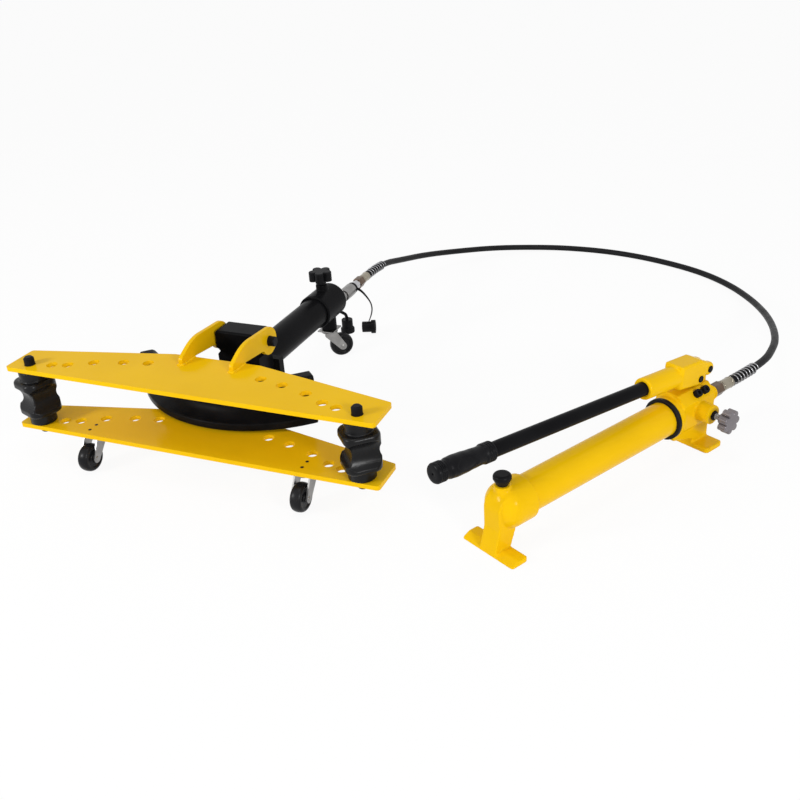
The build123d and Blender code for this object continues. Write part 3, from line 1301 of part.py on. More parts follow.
# Two socket plugs on the right-hand shoulder
with BuildPart() as valve_plugs:
    for back in PLUG_BACK:
        shoulder_mid = HEAD_HALF - HEAD_CHAMFER / 2
        outward = Vector(0, -1, 1).normalized()
        seat = Plane(
            origin=(HEAD_FRONT_X + back, -shoulder_mid, HEAD_TOP - HEAD_CHAMFER / 2),
            x_dir=(1, 0, 0),
            z_dir=outward,
        )
        with BuildSketch(seat):
            Circle(PLUG_D / 2)
        extrude(amount=PLUG_H)
        with BuildSketch(seat.offset(PLUG_H)):
            RegularPolygon(PLUG_SOCKET_D / 2, 6)
        extrude(amount=-PLUG_H / 2, mode=Mode.SUBTRACT)
pump["valve_plugs"] = valve_plugs.part

# Tie rod inside the reservoir
pump["tie_rod"] = tank_rod(TANK_FRONT_X - TIE_ROD_SEAT, TANK_REAR_X + TIE_ROD_SEAT, TANK_Z, TIE_ROD_D)

# Lever parts, on an axis from the fulcrum that rises to the front
rise = math.radians(LEVER_RISE)
lever_dir = Vector(-math.cos(rise), 0, math.sin(rise))
lever_up = Vector(math.sin(rise), 0, math.cos(rise))
fulcrum = Vector(FULCRUM_X, 0, FULCRUM_Z)
lever_side = Plane(origin=fulcrum, x_dir=lever_dir, z_dir=lever_dir.cross(lever_up))
pin_offset = Vector(PLUNGER_X - FULCRUM_X, 0, PLUNGER_PIN_Z - FULCRUM_Z)
pin_along = pin_offset.dot(lever_dir)
pin_up = pin_offset.dot(lever_up)


def across_lever(along):
    """Plane across the lever's axis at a distance from the fulcrum, facing the handle's end."""
    return Plane(origin=fulcrum + lever_dir * along, x_dir=(0, 1, 0), z_dir=lever_dir)


with BuildPart() as lever_head:
    with BuildSketch(lever_side):
        with BuildLine():
            Polyline(
                (LEVER_BLOCK_FRONT, LEVER_BLOCK_TOP),
                (pin_along, LEVER_BLOCK_TOP),
                (0, LEVER_LOBE_R),
                (0, 0),
                (pin_along, pin_up - LEVER_LOBE_R),
                (LEVER_BLOCK_FRONT, -LEVER_BLOCK_BOTTOM),
                close=True,
            )
        make_face()
        with Locations((0, 0), (pin_along, pin_up)):
            Circle(LEVER_LOBE_R)
    extrude(amount=LEVER_HALF, both=True)
    sides = lever_head.faces().sort_by(Axis.Y)
    chamfer([*sides[0].edges(), *sides[-1].edges()], LEVER_EDGE)
    with BuildSketch(across_lever(LEVER_BLOCK_FRONT - LEVER_EDGE)):
        Circle(SOCKET_D / 2)
    extrude(amount=SOCKET_END - LEVER_BLOCK_FRONT + LEVER_EDGE)
    chamfer(lever_head.faces().sort_by(Axis.X)[0].edges(), LEVER_EDGE / 2)
    with BuildSketch(across_lever(SOCKET_BORE_START)):
        Circle(HANDLE_D / 2)
    extrude(amount=SOCKET_END - SOCKET_BORE_START, mode=Mode.SUBTRACT)
    with BuildSketch(lever_side):
        with BuildLine():
            Polyline(
                (-2 * LEVER_LOBE_R, FORK_SLOT_TOP),
                (FORK_SLOT_FRONT, FORK_SLOT_TOP),
                (FORK_SLOT_FRONT, -3 * LEVER_LOBE_R),
                (-2 * LEVER_LOBE_R, -3 * LEVER_LOBE_R),
                close=True,
            )
        make_face()
    extrude(amount=FORK_SLOT_HALF, both=True, mode=Mode.SUBTRACT)
    with BuildSketch(lever_side):
        with Locations((0, 0), (pin_along, pin_up)):
            Circle(LEVER_PIN_D / 2)
    extrude(amount=LEVER_HALF, both=True, mode=Mode.SUBTRACT)
pump["lever_head"] = lever_head.part

with BuildPart() as handle_tube:
    with BuildSketch(across_lever(SOCKET_BORE_START)):
        Circle(HANDLE_D / 2)
    extrude(amount=HANDLE_END - SOCKET_BORE_START)
pump["handle_tube"] = handle_tube.part

# Rubber grip: turned shape with a full middle, drawn-in necks and ribs at both ends
grip_length = GRIP_END - GRIP_START
grip_half = grip_length / 2
rib_zone = (2 * GRIP_RIBS + 1) * GRIP_RIB_W
with BuildPart() as handle_grip:
    with BuildSketch(lever_side):
        with BuildLine():
            neck_a = (GRIP_START + rib_zone, GRIP_WAIST_R)
            middle = (GRIP_START + grip_half, GRIP_BULGE_R)
            neck_b = (GRIP_END - rib_zone, GRIP_WAIST_R)
            nose_start = (GRIP_END - GRIP_NOSE_R, GRIP_END_R)
            nose_end = (GRIP_END, GRIP_END_R - GRIP_NOSE_R)
            Polyline(neck_b, (GRIP_END - rib_zone, GRIP_END_R), nose_start)
            TangentArc(nose_start, nose_end, tangent=(1, 0))
            Polyline(nose_end, (GRIP_END, 0), (GRIP_START, 0), (GRIP_START, GRIP_END_R))
            Polyline((GRIP_START, GRIP_END_R), (GRIP_START + rib_zone, GRIP_END_R), neck_a)
            ThreePointArc(neck_a, middle, neck_b)
        make_face()
        for k in range(GRIP_RIBS):
            inset = 2 * (k + 1) * GRIP_RIB_W
            for centre in (GRIP_START + inset, GRIP_END - inset):
                with Locations((centre, GRIP_END_R)):
                    Rectangle(GRIP_RIB_W / 2, 2 * GRIP_RIB_H, mode=Mode.SUBTRACT)
    revolve(axis=Axis(fulcrum, lever_dir))
    with BuildSketch(across_lever(GRIP_START)):
        Circle(HANDLE_D / 2)
    extrude(amount=HANDLE_END - GRIP_START, mode=Mode.SUBTRACT)
pump["handle_grip"] = handle_grip.part

for label, solid in pump.items():
    pieces[label] = solid.moved(pump_place)

# The origin is under the middle of the machine's box, on the floor
box = Compound(list(pieces.values())).bounding_box()
to_origin = Location((-box.center().X, -box.center().Y, 0))
print(f"origin moved by {-box.center().X:.4f}, {-box.center().Y:.4f}; lowest point {box.min.Z:.4f}")
for label, solid in {**pieces, **cord_pieces}.items():
    placed = solid.moved(to_origin)
    placed.label = label
    export_step(placed, f"parts/{label}.step")
print(f"{len(pieces) + len(cord_pieces)} pieces written")
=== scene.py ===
# %% [markdown]
# A hydraulic pipe bender on casters, with a hand pump beside it and a hose between them.
# The solid model gives every piece its size and place. This lesson dresses it: it lays the hose,
# rounds the castings and breaks the edges of the plates, winds the springs, adds the small work of
# the shop floor such as welds, threads and crimps, and gives each surface a finish of shader nodes.

# %% Load the solid model
import json
import math

import bmesh
import bpy
from mathutils import Matrix, Vector


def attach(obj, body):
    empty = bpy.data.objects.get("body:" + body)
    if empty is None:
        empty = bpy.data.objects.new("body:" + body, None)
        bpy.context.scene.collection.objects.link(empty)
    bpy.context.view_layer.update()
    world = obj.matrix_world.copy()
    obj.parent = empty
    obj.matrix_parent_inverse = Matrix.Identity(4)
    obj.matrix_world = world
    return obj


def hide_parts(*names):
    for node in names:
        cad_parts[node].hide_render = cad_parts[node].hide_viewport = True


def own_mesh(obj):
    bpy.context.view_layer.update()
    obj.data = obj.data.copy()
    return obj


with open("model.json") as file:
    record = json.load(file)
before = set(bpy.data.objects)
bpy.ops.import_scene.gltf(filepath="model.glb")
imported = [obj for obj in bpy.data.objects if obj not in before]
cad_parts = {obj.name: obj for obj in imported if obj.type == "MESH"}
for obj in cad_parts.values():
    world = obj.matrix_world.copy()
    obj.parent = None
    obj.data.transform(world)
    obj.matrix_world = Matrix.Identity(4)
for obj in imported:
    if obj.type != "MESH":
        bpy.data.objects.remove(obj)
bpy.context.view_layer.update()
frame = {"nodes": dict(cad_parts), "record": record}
nodes = frame["nodes"]
ORIGIN = Vector((0.2472629, 0.2909165, 0.0))


def at(x, y, z):
    """A point given in the bender's own frame, in metres, moved to the model's origin."""
    return Vector((x, y, z)) - ORIGIN


# %% [markdown]
# The camera stands to the right of the bender and looks down on it. Its place and angles were
# found from the straight edges of the wings and the pump, so they are set as plain numbers: a turn
# about the vertical, a tilt down and a small roll. The lens comes from the focal length in pixels.

# %% Camera
FOCAL_PIXELS = 963.83
IMAGE_PIXELS = 800
CAMERA_TURN = math.radians(23.47)
CAMERA_TILT = math.radians(28.07)
CAMERA_ROLL = math.radians(3.37)
CENTRE_PIXEL = (407.75, 400.97)
CAMERA_PLACE = (0.8925, -1.1194, 0.8820)
SENSOR_WIDTH = 36.0

camera_data = bpy.data.cameras.new("camera")
camera_data.sensor_width = SENSOR_WIDTH
camera_data.lens = SENSOR_WIDTH * FOCAL_PIXELS / IMAGE_PIXELS
camera_data.shift_x = (IMAGE_PIXELS / 2 - CENTRE_PIXEL[0]) / IMAGE_PIXELS
camera_data.shift_y = (CENTRE_PIXEL[1] - IMAGE_PIXELS / 2) / IMAGE_PIXELS
camera = bpy.data.objects.new("camera", camera_data)
looking = (
    Matrix.Rotation(CAMERA_TURN, 4, "Z")
    @ Matrix.Rotation(math.pi / 2 - CAMERA_TILT, 4, "X")
    @ Matrix.Rotation(-CAMERA_ROLL, 4, "Z")
)
camera.matrix_world = Matrix.Translation(at(*CAMERA_PLACE)) @ looking
bpy.context.collection.objects.link(camera)
bpy.context.scene.camera = camera
print("camera lens", round(camera_data.lens, 2), "mm")

# %% [markdown]
# Node trees read best as arithmetic. This small class wraps one socket of a tree, so that adding or
# multiplying two sockets adds the Math node that does it. Any other node comes from one method,
# which takes the node's type, its settings and what goes into its sockets. The same class serves
# the materials and the Geometry Nodes further down.


# %% A socket that can be calculated with
class Sock:
    """One output socket of a node tree, with arithmetic."""

    def __init__(self, tree, socket):
        self.tree = tree
        self.socket = socket

    def node(self, kind, settings=None, inputs=None, out=0):
        """Add a node, set it up, feed its sockets and return one of its outputs."""
        made = self.tree.nodes.new(kind)
        for key, value in (settings or {}).items():
            setattr(made, key, value)
        for key, value in (inputs or {}).items():
            if isinstance(value, Sock):
                self.tree.links.new(value.socket, made.inputs[key])
            else:
                made.inputs[key].default_value = value
        return Sock(self.tree, made.outputs[out])

    def math(self, operation, first, second):
        return self.node("ShaderNodeMath", {"operation": operation}, {0: first, 1: second})

    def __add__(self, other):
        return self.math("ADD", self, other)

    __radd__ = __add__

    def __sub__(self, other):
        return self.math("SUBTRACT", self, other)

    def __rsub__(self, other):
        return self.math("SUBTRACT", other, self)

    def __mul__(self, other):
        return self.math("MULTIPLY", self, other)

    __rmul__ = __mul__

    def cosine(self):
        return self.math("COSINE", self, 0.0)

    def sine(self):
        return self.math("SINE", self, 0.0)

    def vector_math(self, operation, inputs):
        return self.node("ShaderNodeVectorMath", {"operation": operation}, inputs)

    def cross(self, other):
        """The vector that stands square on two vectors."""
        return self.vector_math("CROSS_PRODUCT", {0: self, 1: other})

    def plus(self, other):
        """The sum of two vectors."""
        return self.vector_math("ADD", {0: self, 1: other})

    def scaled(self, factor):
        """The vector times a number."""
        return self.vector_math("SCALE", {0: self, "Scale": factor})

    def noise(self, scale, detail=2.0, rough=0.5):
        """Soft noise from 0 to 1 over the coordinate that this socket holds."""
        sockets = {"Vector": self, "Scale": scale, "Detail": detail, "Roughness": rough}
        return self.node("ShaderNodeTexNoise", {"noise_dimensions": "3D"}, sockets)

    def stretched(self, scale):
        """The coordinate with each axis multiplied by its own number."""
        return self.node("ShaderNodeMapping", {}, {"Vector": self, "Scale": scale})

    def between(self, low, high):
        """The value spread so that low becomes 0 and high becomes 1, and cut off there."""
        sockets = {"Value": self, "From Min": low, "From Max": high}
        return self.node("ShaderNodeMapRange", {"clamp": True}, sockets)

    def mix(self, colour_a, colour_b):
        """colour_a where this value is 0, colour_b where it is 1."""
        sockets = {0: self, 6: colour_a, 7: colour_b}
        return self.node("ShaderNodeMix", {"data_type": "RGBA"}, sockets, out=2)


# %% [markdown]
# A finish is a Principled shader. What is the same all over is set as a number, and what changes
# over the surface comes from a paint function, which works on the object's own coordinates. Relief
# that is too fine for geometry goes through one Bump node.


# %% A finish from a paint function
def rgb(red, green, blue):
    return (red, green, blue, 1.0)


def finish(name, paint, **constants):
    """A material whose paint function returns the sockets that vary over the surface."""
    material = bpy.data.materials.new(name)
    material.use_nodes = True
    tree = material.node_tree
    shader = tree.nodes["Principled BSDF"]
    for key, value in constants.items():
        shader.inputs[key.replace("_", " ").title().replace("Ior", "IOR")].default_value = value
    place = Sock(tree, tree.nodes.new("ShaderNodeTexCoord").outputs["Object"])
    varying = paint(place)
    height, depth = varying.pop("height")
    for key, value in varying.items():
        tree.links.new(value.socket, shader.inputs[key])
    bump = height.node("ShaderNodeBump", {}, {"Height": height, "Strength": 1.0, "Distance": depth})
    tree.links.new(bump.socket, shader.inputs["Normal"])
    return material


# %% [markdown]
# The enamel is sprayed thick. It has a faint orange peel, a little difference in tone from place to
# place, and dust that dulls the gloss in soft patches. The colour comes from two close tones mixed
# by a large, slow noise, because a single flat colour looks like plastic. The specular level is
# kept low, so that the white room doesn't wash the yellow out.


# %% Enamels
def enamel(dark, light, speck, gloss, gloss_spread):
    def paint(place):
        tone = place.noise(9.0, detail=3.0).between(0.3, 0.7)
        dust = place.noise(45.0, detail=5.0, rough=0.6).between(0.55, 0.8)
        peel = place.noise(420.0, detail=1.0) * 0.7 + place.noise(1300.0, detail=1.0) * 0.3
        fleck = place.noise(700.0, detail=2.0).between(0.70, 0.78) * 0.35
        body = tone.mix(rgb(*dark), rgb(*light))
        return {
            "Base Color": (fleck + dust * 0.05).mix(body, rgb(*speck)),
            "Roughness": dust * gloss_spread + gloss,
            "height": (peel, 0.00006),
        }

    return paint


yellow_enamel = finish(
    "yellow_enamel",
    enamel(
        (0.78, 0.46, 0.003), (0.83, 0.50, 0.004), (0.70, 0.42, 0.02),
        gloss=0.16, gloss_spread=0.14,
    ),
    specular_ior_level=0.045,
)
black_enamel = finish(
    "black_enamel",
    enamel(
        (0.005, 0.005, 0.0055), (0.008, 0.008, 0.009), (0.022, 0.022, 0.022),
        gloss=0.28, gloss_spread=0.18,
    ),
    specular_ior_level=0.025,
)
print("enamels made")

# %% [markdown]
# The rollers and the die are blackened castings. A coarse and a fine noise together make the skin
# of the sand mould, and handling has rubbed some places smoother than others. The die is left dull,
# and the rollers are oiled, so that their faces shine.


# %% Blackened castings
def sand_skin(dullest, rub):
    def paint(place):
        coarse = place.noise(160.0, detail=3.0)
        fine = place.noise(900.0, detail=2.0)
        rubbed = place.noise(28.0, detail=4.0).between(0.35, 0.7)
        return {
            "Base Color": rubbed.mix(rgb(0.004, 0.004, 0.0045), rgb(0.009, 0.009, 0.010)),
            "Roughness": dullest - rubbed * rub + fine * 0.10,
            "height": (coarse * 0.6 + fine * 0.4, 0.00022),
        }

    return paint


black_casting = finish("black_casting", sand_skin(dullest=0.36, rub=0.12), specular_ior_level=0.04)
oiled_casting = finish("oiled_casting", sand_skin(dullest=0.26, rub=0.08), specular_ior_level=0.18)
print("casting skins made")

# %% [markdown]
# Bare and plated metals differ in how their scratches run. Zinc plate is a soft grey in patches.
# Turned and drawn parts carry fine rings, which a noise that is squeezed along one axis gives.


# %% Metals
def plated(dark, light, rough, grain):
    low, high = rough

    def paint(place):
        patch = place.noise(60.0, detail=3.0).between(0.3, 0.7)
        lines = place.stretched(grain).noise(1.0, detail=3.0, rough=0.6)
        return {
            "Base Color": patch.mix(rgb(*dark), rgb(*light)),
            "Roughness": lines * (high - low) + low,
            "height": (lines, 0.000006),
        }

    return paint


RINGED = (300.0, 2200.0, 300.0)
CROSSED = (900.0, 900.0, 500.0)
EVEN = (90.0, 90.0, 90.0)
zinc = finish(
    "zinc_plate",
    plated((0.22, 0.215, 0.21), (0.30, 0.295, 0.29), rough=(0.28, 0.40), grain=CROSSED),
    metallic=1.0,
)
black_oxide = finish(
    "black_oxide",
    plated((0.006, 0.006, 0.007), (0.012, 0.012, 0.014), rough=(0.30, 0.50), grain=CROSSED),
    specular_ior_level=0.05,
)
chrome = finish(
    "hard_chrome",
    plated((0.40, 0.40, 0.41), (0.50, 0.50, 0.51), rough=(0.08, 0.20), grain=RINGED),
    metallic=1.0,
)
bright_ferrule = finish(
    "passivated_ferrule",
    plated((0.27, 0.24, 0.185), (0.33, 0.30, 0.24), rough=(0.18, 0.24), grain=EVEN),
    metallic=1.0,
)
bronze_nut = finish(
    "brown_nut",
    plated((0.10, 0.066, 0.045), (0.15, 0.105, 0.075), rough=(0.28, 0.42), grain=CROSSED),
    metallic=0.8,
)
spring_wire = finish(
    "spring_wire",
    plated((0.22, 0.22, 0.23), (0.34, 0.34, 0.35), rough=(0.24, 0.40), grain=EVEN),
    metallic=1.0,
)
print("metals made")

# %% [markdown]
# Rubber and plastic are dielectrics. Rubber is dull and slightly pebbled, the wheels are smoother,
# and the moulded knobs have a fine spark-eroded grain.


# %% Rubber and plastic
def moulded(dark, light, rough, grain, depth):
    low, high = rough

    def paint(place):
        patch = place.noise(40.0, detail=3.0).between(0.3, 0.7)
        skin = place.noise(grain, detail=2.0)
        return {
            "Base Color": patch.mix(rgb(*dark), rgb(*light)),
            "Roughness": patch * (high - low) + low,
            "height": (skin, depth),
        }

    return paint


hose_rubber = finish(
    "hose_rubber",
    moulded(
        (0.006, 0.006, 0.007), (0.012, 0.012, 0.013),
        rough=(0.38, 0.55), grain=1500.0, depth=0.00004,
    ),
    specular_ior_level=0.10,
)
grip_rubber = finish(
    "grip_rubber",
    moulded(
        (0.004, 0.004, 0.005), (0.008, 0.008, 0.009),
        rough=(0.28, 0.42), grain=1200.0, depth=0.00004,
    ),
    specular_ior_level=0.08,
)
wheel_rubber = finish(
    "wheel_rubber",
    moulded(
        (0.006, 0.006, 0.007), (0.012, 0.012, 0.013),
        rough=(0.22, 0.36), grain=700.0, depth=0.00003,
    ),
    specular_ior_level=0.12,
)
black_plastic = finish(
    "black_plastic",
    moulded(
        (0.006, 0.006, 0.007), (0.011, 0.011, 0.012),
        rough=(0.30, 0.44), grain=1800.0, depth=0.00004,
    ),
    specular_ior_level=0.05,
)
grey_plastic = finish(
    "grey_plastic",
    moulded(
        (0.13, 0.115, 0.125), (0.18, 0.162, 0.172),
        rough=(0.30, 0.44), grain=1400.0, depth=0.00005,
    ),
    metallic=0.3,
)
print("rubber and plastic made")

# %% [markdown]
# Each slot of the record gets its finish, and every node of the solid model wears the finish of its
# own slot. Only the rollers wear the oiled skin, and the bolts in the lower wing are painted over
# together with the wing.

# %% Finishes on the solid model
slot_finish = {
    "yellow_paint": yellow_enamel,
    "black_paint": black_enamel,
    "black_iron": black_casting,
    "zinc": zinc,
    "dark_fastener": black_oxide,
    "polished_steel": chrome,
    "ferrule_gold": bright_ferrule,
    "nut_bronze": bronze_nut,
    "spring_steel": spring_wire,
    "black_rubber": hose_rubber,
    "wheel_black": wheel_rubber,
    "black_plastic": black_plastic,
    "grey_plastic": grey_plastic,
}
node_slot = {part["node"]: part["material_slot"] for part in frame["record"]["subparts"]}
bodies = frame["record"]["behaviour"]["bodies"]
node_body = {node: body for body, held in bodies.items() for node in held}
node_finish = {node: slot_finish[slot] for node, slot in node_slot.items()}
node_finish["roller_left"] = node_finish["roller_right"] = oiled_casting
node_finish["wing_bolts"] = yellow_enamel
for name, thing in nodes.items():
    thing.data.materials.clear()
    thing.data.materials.append(node_finish[name])
print("finishes set on", len(nodes), "nodes")

# %% [markdown]
# Most pieces are made anew below and stand for a node of the solid model. Each takes over the body
# and the place of its node. Modifiers are handy while a shape is made, but the mesh is what counts
# in the end, so each piece keeps only the plain mesh that its modifiers show.


# %% Helpers for new pieces
def dress(piece, node):
    """Let a finished piece stand for a node: on its body and in its place."""
    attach(piece, node_body[node])
    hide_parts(node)
    return piece


def settled(piece):
    """Turn what the modifiers show into the piece's own plain mesh."""
    bpy.context.view_layer.update()
    shown = piece.evaluated_get(bpy.context.evaluated_depsgraph_get())
    plain = bpy.data.meshes.new_from_object(shown)
    piece.modifiers.clear()
    piece.data = plain
    return piece


# %% [markdown]
# The hose is one smooth line. A NURBS curve takes the route's points as control points, and its
# round bevel gives the rubber its thickness. It leaves the coupler straight inside its guard
# spring, sinks to the floor, swings round in one wide arc and climbs into the pump's guard.


# %% Hose
def cord_curve(name, points, half_width, half_thickness, material, twist=0.0):
    """A cord along a smooth NURBS line, round or flat; a flat one may twist along its way."""
    curve = bpy.data.curves.new(name, "CURVE")
    curve.dimensions = "3D"
    curve.bevel_depth = half_thickness
    curve.extrude = half_width - half_thickness
    curve.bevel_resolution = 6
    curve.use_fill_caps = True
    spline = curve.splines.new("NURBS")
    spline.points.add(len(points) - 1)
    for k, (knot, point) in enumerate(zip(spline.points, points)):
        knot.co = (*at(*point), 1.0)
        knot.tilt = twist * k / (len(points) - 1)
    spline.order_u = 3
    spline.use_endpoint_u = True
    spline.resolution_u = 12
    curve.materials.append(material)
    cord = bpy.data.objects.new(name, curve)
    bpy.context.collection.objects.link(cord)
    return cord


HOSE_D = 0.014
HOSE_ROUTE = [
    (0.0, 0.744, 0.1085),
    (0.0, 0.824, 0.1085),
    (0.010, 0.935, 0.081),
    (0.029, 1.034, 0.060),
    (0.074, 1.139, 0.037),
    (0.149, 1.231, 0.021),
    (0.245, 1.291, 0.010),
    (0.328, 1.312, 0.0073),
    (0.432, 1.310, 0.0073),
    (0.529, 1.288, 0.0073),
    (0.625, 1.248, 0.0073),
    (0.701, 1.198, 0.0085),
    (0.766, 1.130, 0.010),
    (0.815, 1.046, 0.015),
    (0.849, 0.946, 0.0286),
    (0.870, 0.828, 0.0515),
    (0.880, 0.7175, 0.074),
    (0.880, 0.647, 0.085),
    (0.8669, 0.5558, 0.091),
    (0.8180, 0.4672, 0.091),
]
hose = cord_curve("hose_line", HOSE_ROUTE, HOSE_D / 2, HOSE_D / 2, hose_rubber)
dress(hose, "hose")
print("hose laid through", len(HOSE_ROUTE), "points")

# %% [markdown]
# The two dust caps hang on flat rubber straps, so that they can't get lost. A strap is the same
# kind of curve as the hose with a flat section, and tilting its points little by little gives the
# twist of a strap that hangs freely.

# %% Cap straps
STRAP_W = 0.0068
STRAP_T = 0.0016
STRAP_TWIST = math.radians(80)
STRAP_ROUTES = {
    "female": [
        (0.0, 0.592, 0.095),
        (0.0, 0.592, 0.085),
        (0.0045, 0.6005, 0.0775),
        (0.010, 0.608, 0.070),
        (0.010, 0.608, 0.060),
    ],
    "male": [
        (0.0125, 0.666, 0.1085),
        (0.020, 0.666, 0.106),
        (0.032, 0.668, 0.092),
        (0.0425, 0.671, 0.073),
        (0.0405, 0.673, 0.049),
        (0.030, 0.674, 0.028),
    ],
}
straps = {}
for half, route in STRAP_ROUTES.items():
    sizes = (STRAP_W / 2, STRAP_T / 2, grip_rubber, STRAP_TWIST)
    straps[half] = cord_curve(f"cap_strap_line_{half}", route, *sizes)
    dress(straps[half], f"cap_strap_{half}")
print("straps hung:", *straps)

# %% [markdown]
# Several pieces repeat a small shape along a line: spring wire, thread, crimp rings and the ripples
# of a weld. They could be modelled one by one, but a Geometry Nodes tree with named sizes does it
# once for every place. Each tree takes a mesh of bare edges as its line, and ends by making its
# instances real and painting them, so that the result is a plain mesh.


# %% Trees that repeat a shape along a line
def tree_along(name, sizes, grow):
    """A Geometry Nodes tree with named sizes; grow says what it makes along its line."""
    tree = bpy.data.node_groups.new(name, "GeometryNodeTree")
    tree.interface.new_socket("Line", in_out="INPUT", socket_type="NodeSocketGeometry")
    for size, kind in sizes.items():
        tree.interface.new_socket(size, in_out="INPUT", socket_type="NodeSocket" + kind)
    tree.interface.new_socket("Finish", in_out="INPUT", socket_type="NodeSocketMaterial")
    tree.interface.new_socket("Piece", in_out="OUTPUT", socket_type="NodeSocketGeometry")
    entry = tree.nodes.new("NodeGroupInput")
    given = {socket.name: Sock(tree, socket) for socket in entry.outputs if socket.name}
    line = given["Line"].node("GeometryNodeMeshToCurve", {}, {"Mesh": given["Line"]})
    whole = line.node("GeometryNodeRealizeInstances", {}, {"Geometry": grow(line, given)})
    painted = whole.node(
        "GeometryNodeSetMaterial", {}, {"Geometry": whole, "Material": given["Finish"]}
    )
    tree.links.new(painted.socket, tree.nodes.new("NodeGroupOutput").inputs["Piece"])
    return tree


def edge_line(name, runs, closed=False):
    """A mesh of bare edges along each run of points."""
    points, edges = [], []
    for run in runs:
        first = len(points)
        points.extend(run)
        edges.extend((first + k, first + k + 1) for k in range(len(run) - 1))
        if closed:
            edges.append((len(points) - 1, first))
    mesh = bpy.data.meshes.new(name)
    mesh.from_pydata(points, edges, [])
    return mesh


def shade_outward(mesh, sharp_turn):
    """Turn all faces outward and shade them smooth, except across edges that turn sharply."""
    surface = bmesh.new()
    surface.from_mesh(mesh)
    bmesh.ops.recalc_face_normals(surface, faces=surface.faces)
    surface.to_mesh(mesh)
    surface.free()
    mesh.shade_smooth()
    mesh.set_sharp_from_angle(angle=math.radians(sharp_turn))


def grown(name, tree, line, sizes):
    """Run a tree over a line and keep what it makes as a plain mesh with its faces outward."""
    piece = bpy.data.objects.new(name, line)
    bpy.context.collection.objects.link(piece)
    modifier = piece.modifiers.new("grow", "NODES")
    modifier.node_group = tree
    for socket in tree.interface.items_tree:
        if socket.name in sizes:
            modifier[socket.identifier] = sizes[socket.name]
    settled(piece)
    shade_outward(piece.data, sharp_turn=50)
    print(name, len(piece.data.polygons), "faces")
    return piece


# %% [markdown]
# A spring is a wire wound round a line. At each point of the evenly divided line, the curve's
# normal and its cross product with the tangent span the section, so that a cosine along one and a
# sine along the other move the point onto the helix. A small circle swept along it is the wire.


# %% A wire wound round a line
def wind(line, given):
    sockets = {"Curve": line, "Count": given["Points"]}
    even = line.node("GeometryNodeResampleCurve", {"mode": "COUNT"}, sockets)
    turn = even.node("GeometryNodeSplineParameter") * given["Turns"] * math.tau
    normal = even.node("GeometryNodeInputNormal")
    across = even.node("GeometryNodeInputTangent").cross(normal)
    radius = given["Coil Radius"]
    offset = normal.scaled(turn.cosine() * radius).plus(across.scaled(turn.sine() * radius))
    helix = even.node("GeometryNodeSetPosition", {}, {"Geometry": even, "Offset": offset})
    sockets = {"Resolution": 8, "Radius": given["Wire Radius"]}
    section = helix.node("GeometryNodeCurvePrimitiveCircle", {"mode": "RADIUS"}, sockets)
    sockets = {"Curve": helix, "Profile Curve": section, "Fill Caps": True}
    return helix.node("GeometryNodeCurveToMesh", {}, sockets)


coil_sizes = {"Points": "Int", "Turns": "Float", "Coil Radius": "Float", "Wire Radius": "Float"}
coil = tree_along("wound_wire", coil_sizes, wind)


def coil_of(turns, steps, coil_radius, wire_radius):
    """The sizes of a wound wire that has so many points in each turn."""
    return {
        "Points": turns * steps,
        "Turns": float(turns),
        "Coil Radius": coil_radius,
        "Wire Radius": wire_radius,
        "Finish": spring_wire,
    }


# %% [markdown]
# A guard spring keeps the hose from kinking where it leaves its ferrule. A straight spring would
# cut into a hose that bends, so the guards are wound round the hose's own line: a copy of its curve
# without any thickness is read back as points, and those near each end are kept.


# %% Hose guards
def stretch(points, start, end):
    """The points of a line that lie between two distances from its first point."""
    kept, gone = [], 0.0
    for before, point in zip([points[0], *points], points):
        gone += (point - before).length
        if start <= gone <= end:
            kept.append(point)
    return kept


bare_line = hose.copy()
bare_line.data = hose.data.copy()
bare_line.data.bevel_depth = 0.0
bare_line.data.splines[0].resolution_u = 64
bare_line.parent = None
bpy.context.collection.objects.link(bare_line)
bpy.context.view_layer.update()
graph = bpy.context.evaluated_depsgraph_get()
line_mesh = bpy.data.meshes.new_from_object(bare_line.evaluated_get(graph))
hose_points = [vertex.co.copy() for vertex in line_mesh.vertices]
bpy.data.objects.remove(bare_line)

WIRE_R = 0.0013
GUARD_GAP = 0.0005
GUARD_R = HOSE_D / 2 + GUARD_GAP + WIRE_R
GUARD_AT_BENDER, GUARD_AT_PUMP = 0.088, 0.0768
guard_runs = [
    stretch(hose_points, WIRE_R, GUARD_AT_BENDER),
    stretch(hose_points[::-1], WIRE_R, GUARD_AT_PUMP),
]
guard_sizes = coil_of(turns=8, steps=28, coil_radius=GUARD_R, wire_radius=WIRE_R)
guards = grown("guard_springs", coil, edge_line("guard_lines", guard_runs), guard_sizes)
dress(guards, "hose_guards")

# %% [markdown]
# The return spring sits in the barrel and pushes the ram back when the oil is let out. The same
# tree winds it round a straight line. It is squashed between the piston and the barrel's front as
# the ram moves out; here it is wound at one length only.

# %% Return spring
RAM_Z = 0.1245
SPRING_FRONT, SPRING_REAR = 0.213, 0.500
spring_sizes = coil_of(turns=14, steps=32, coil_radius=0.021, wire_radius=0.002)
spring_run = [at(0.0, SPRING_FRONT, RAM_Z), at(0.0, SPRING_REAR, RAM_Z)]
spring = grown("return_spring_wire", coil, edge_line("spring_line", [spring_run]), spring_sizes)
dress(spring, "return_spring")
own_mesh(spring)

# %% [markdown]
# Rings in a row make three things here: the crimped lips of the ferrules, the thread of the release
# spindle, and the keeper rings at the ends of the lever's pins. A ring is a small circle swept
# round a larger one, and each is turned so that its axis follows the line.


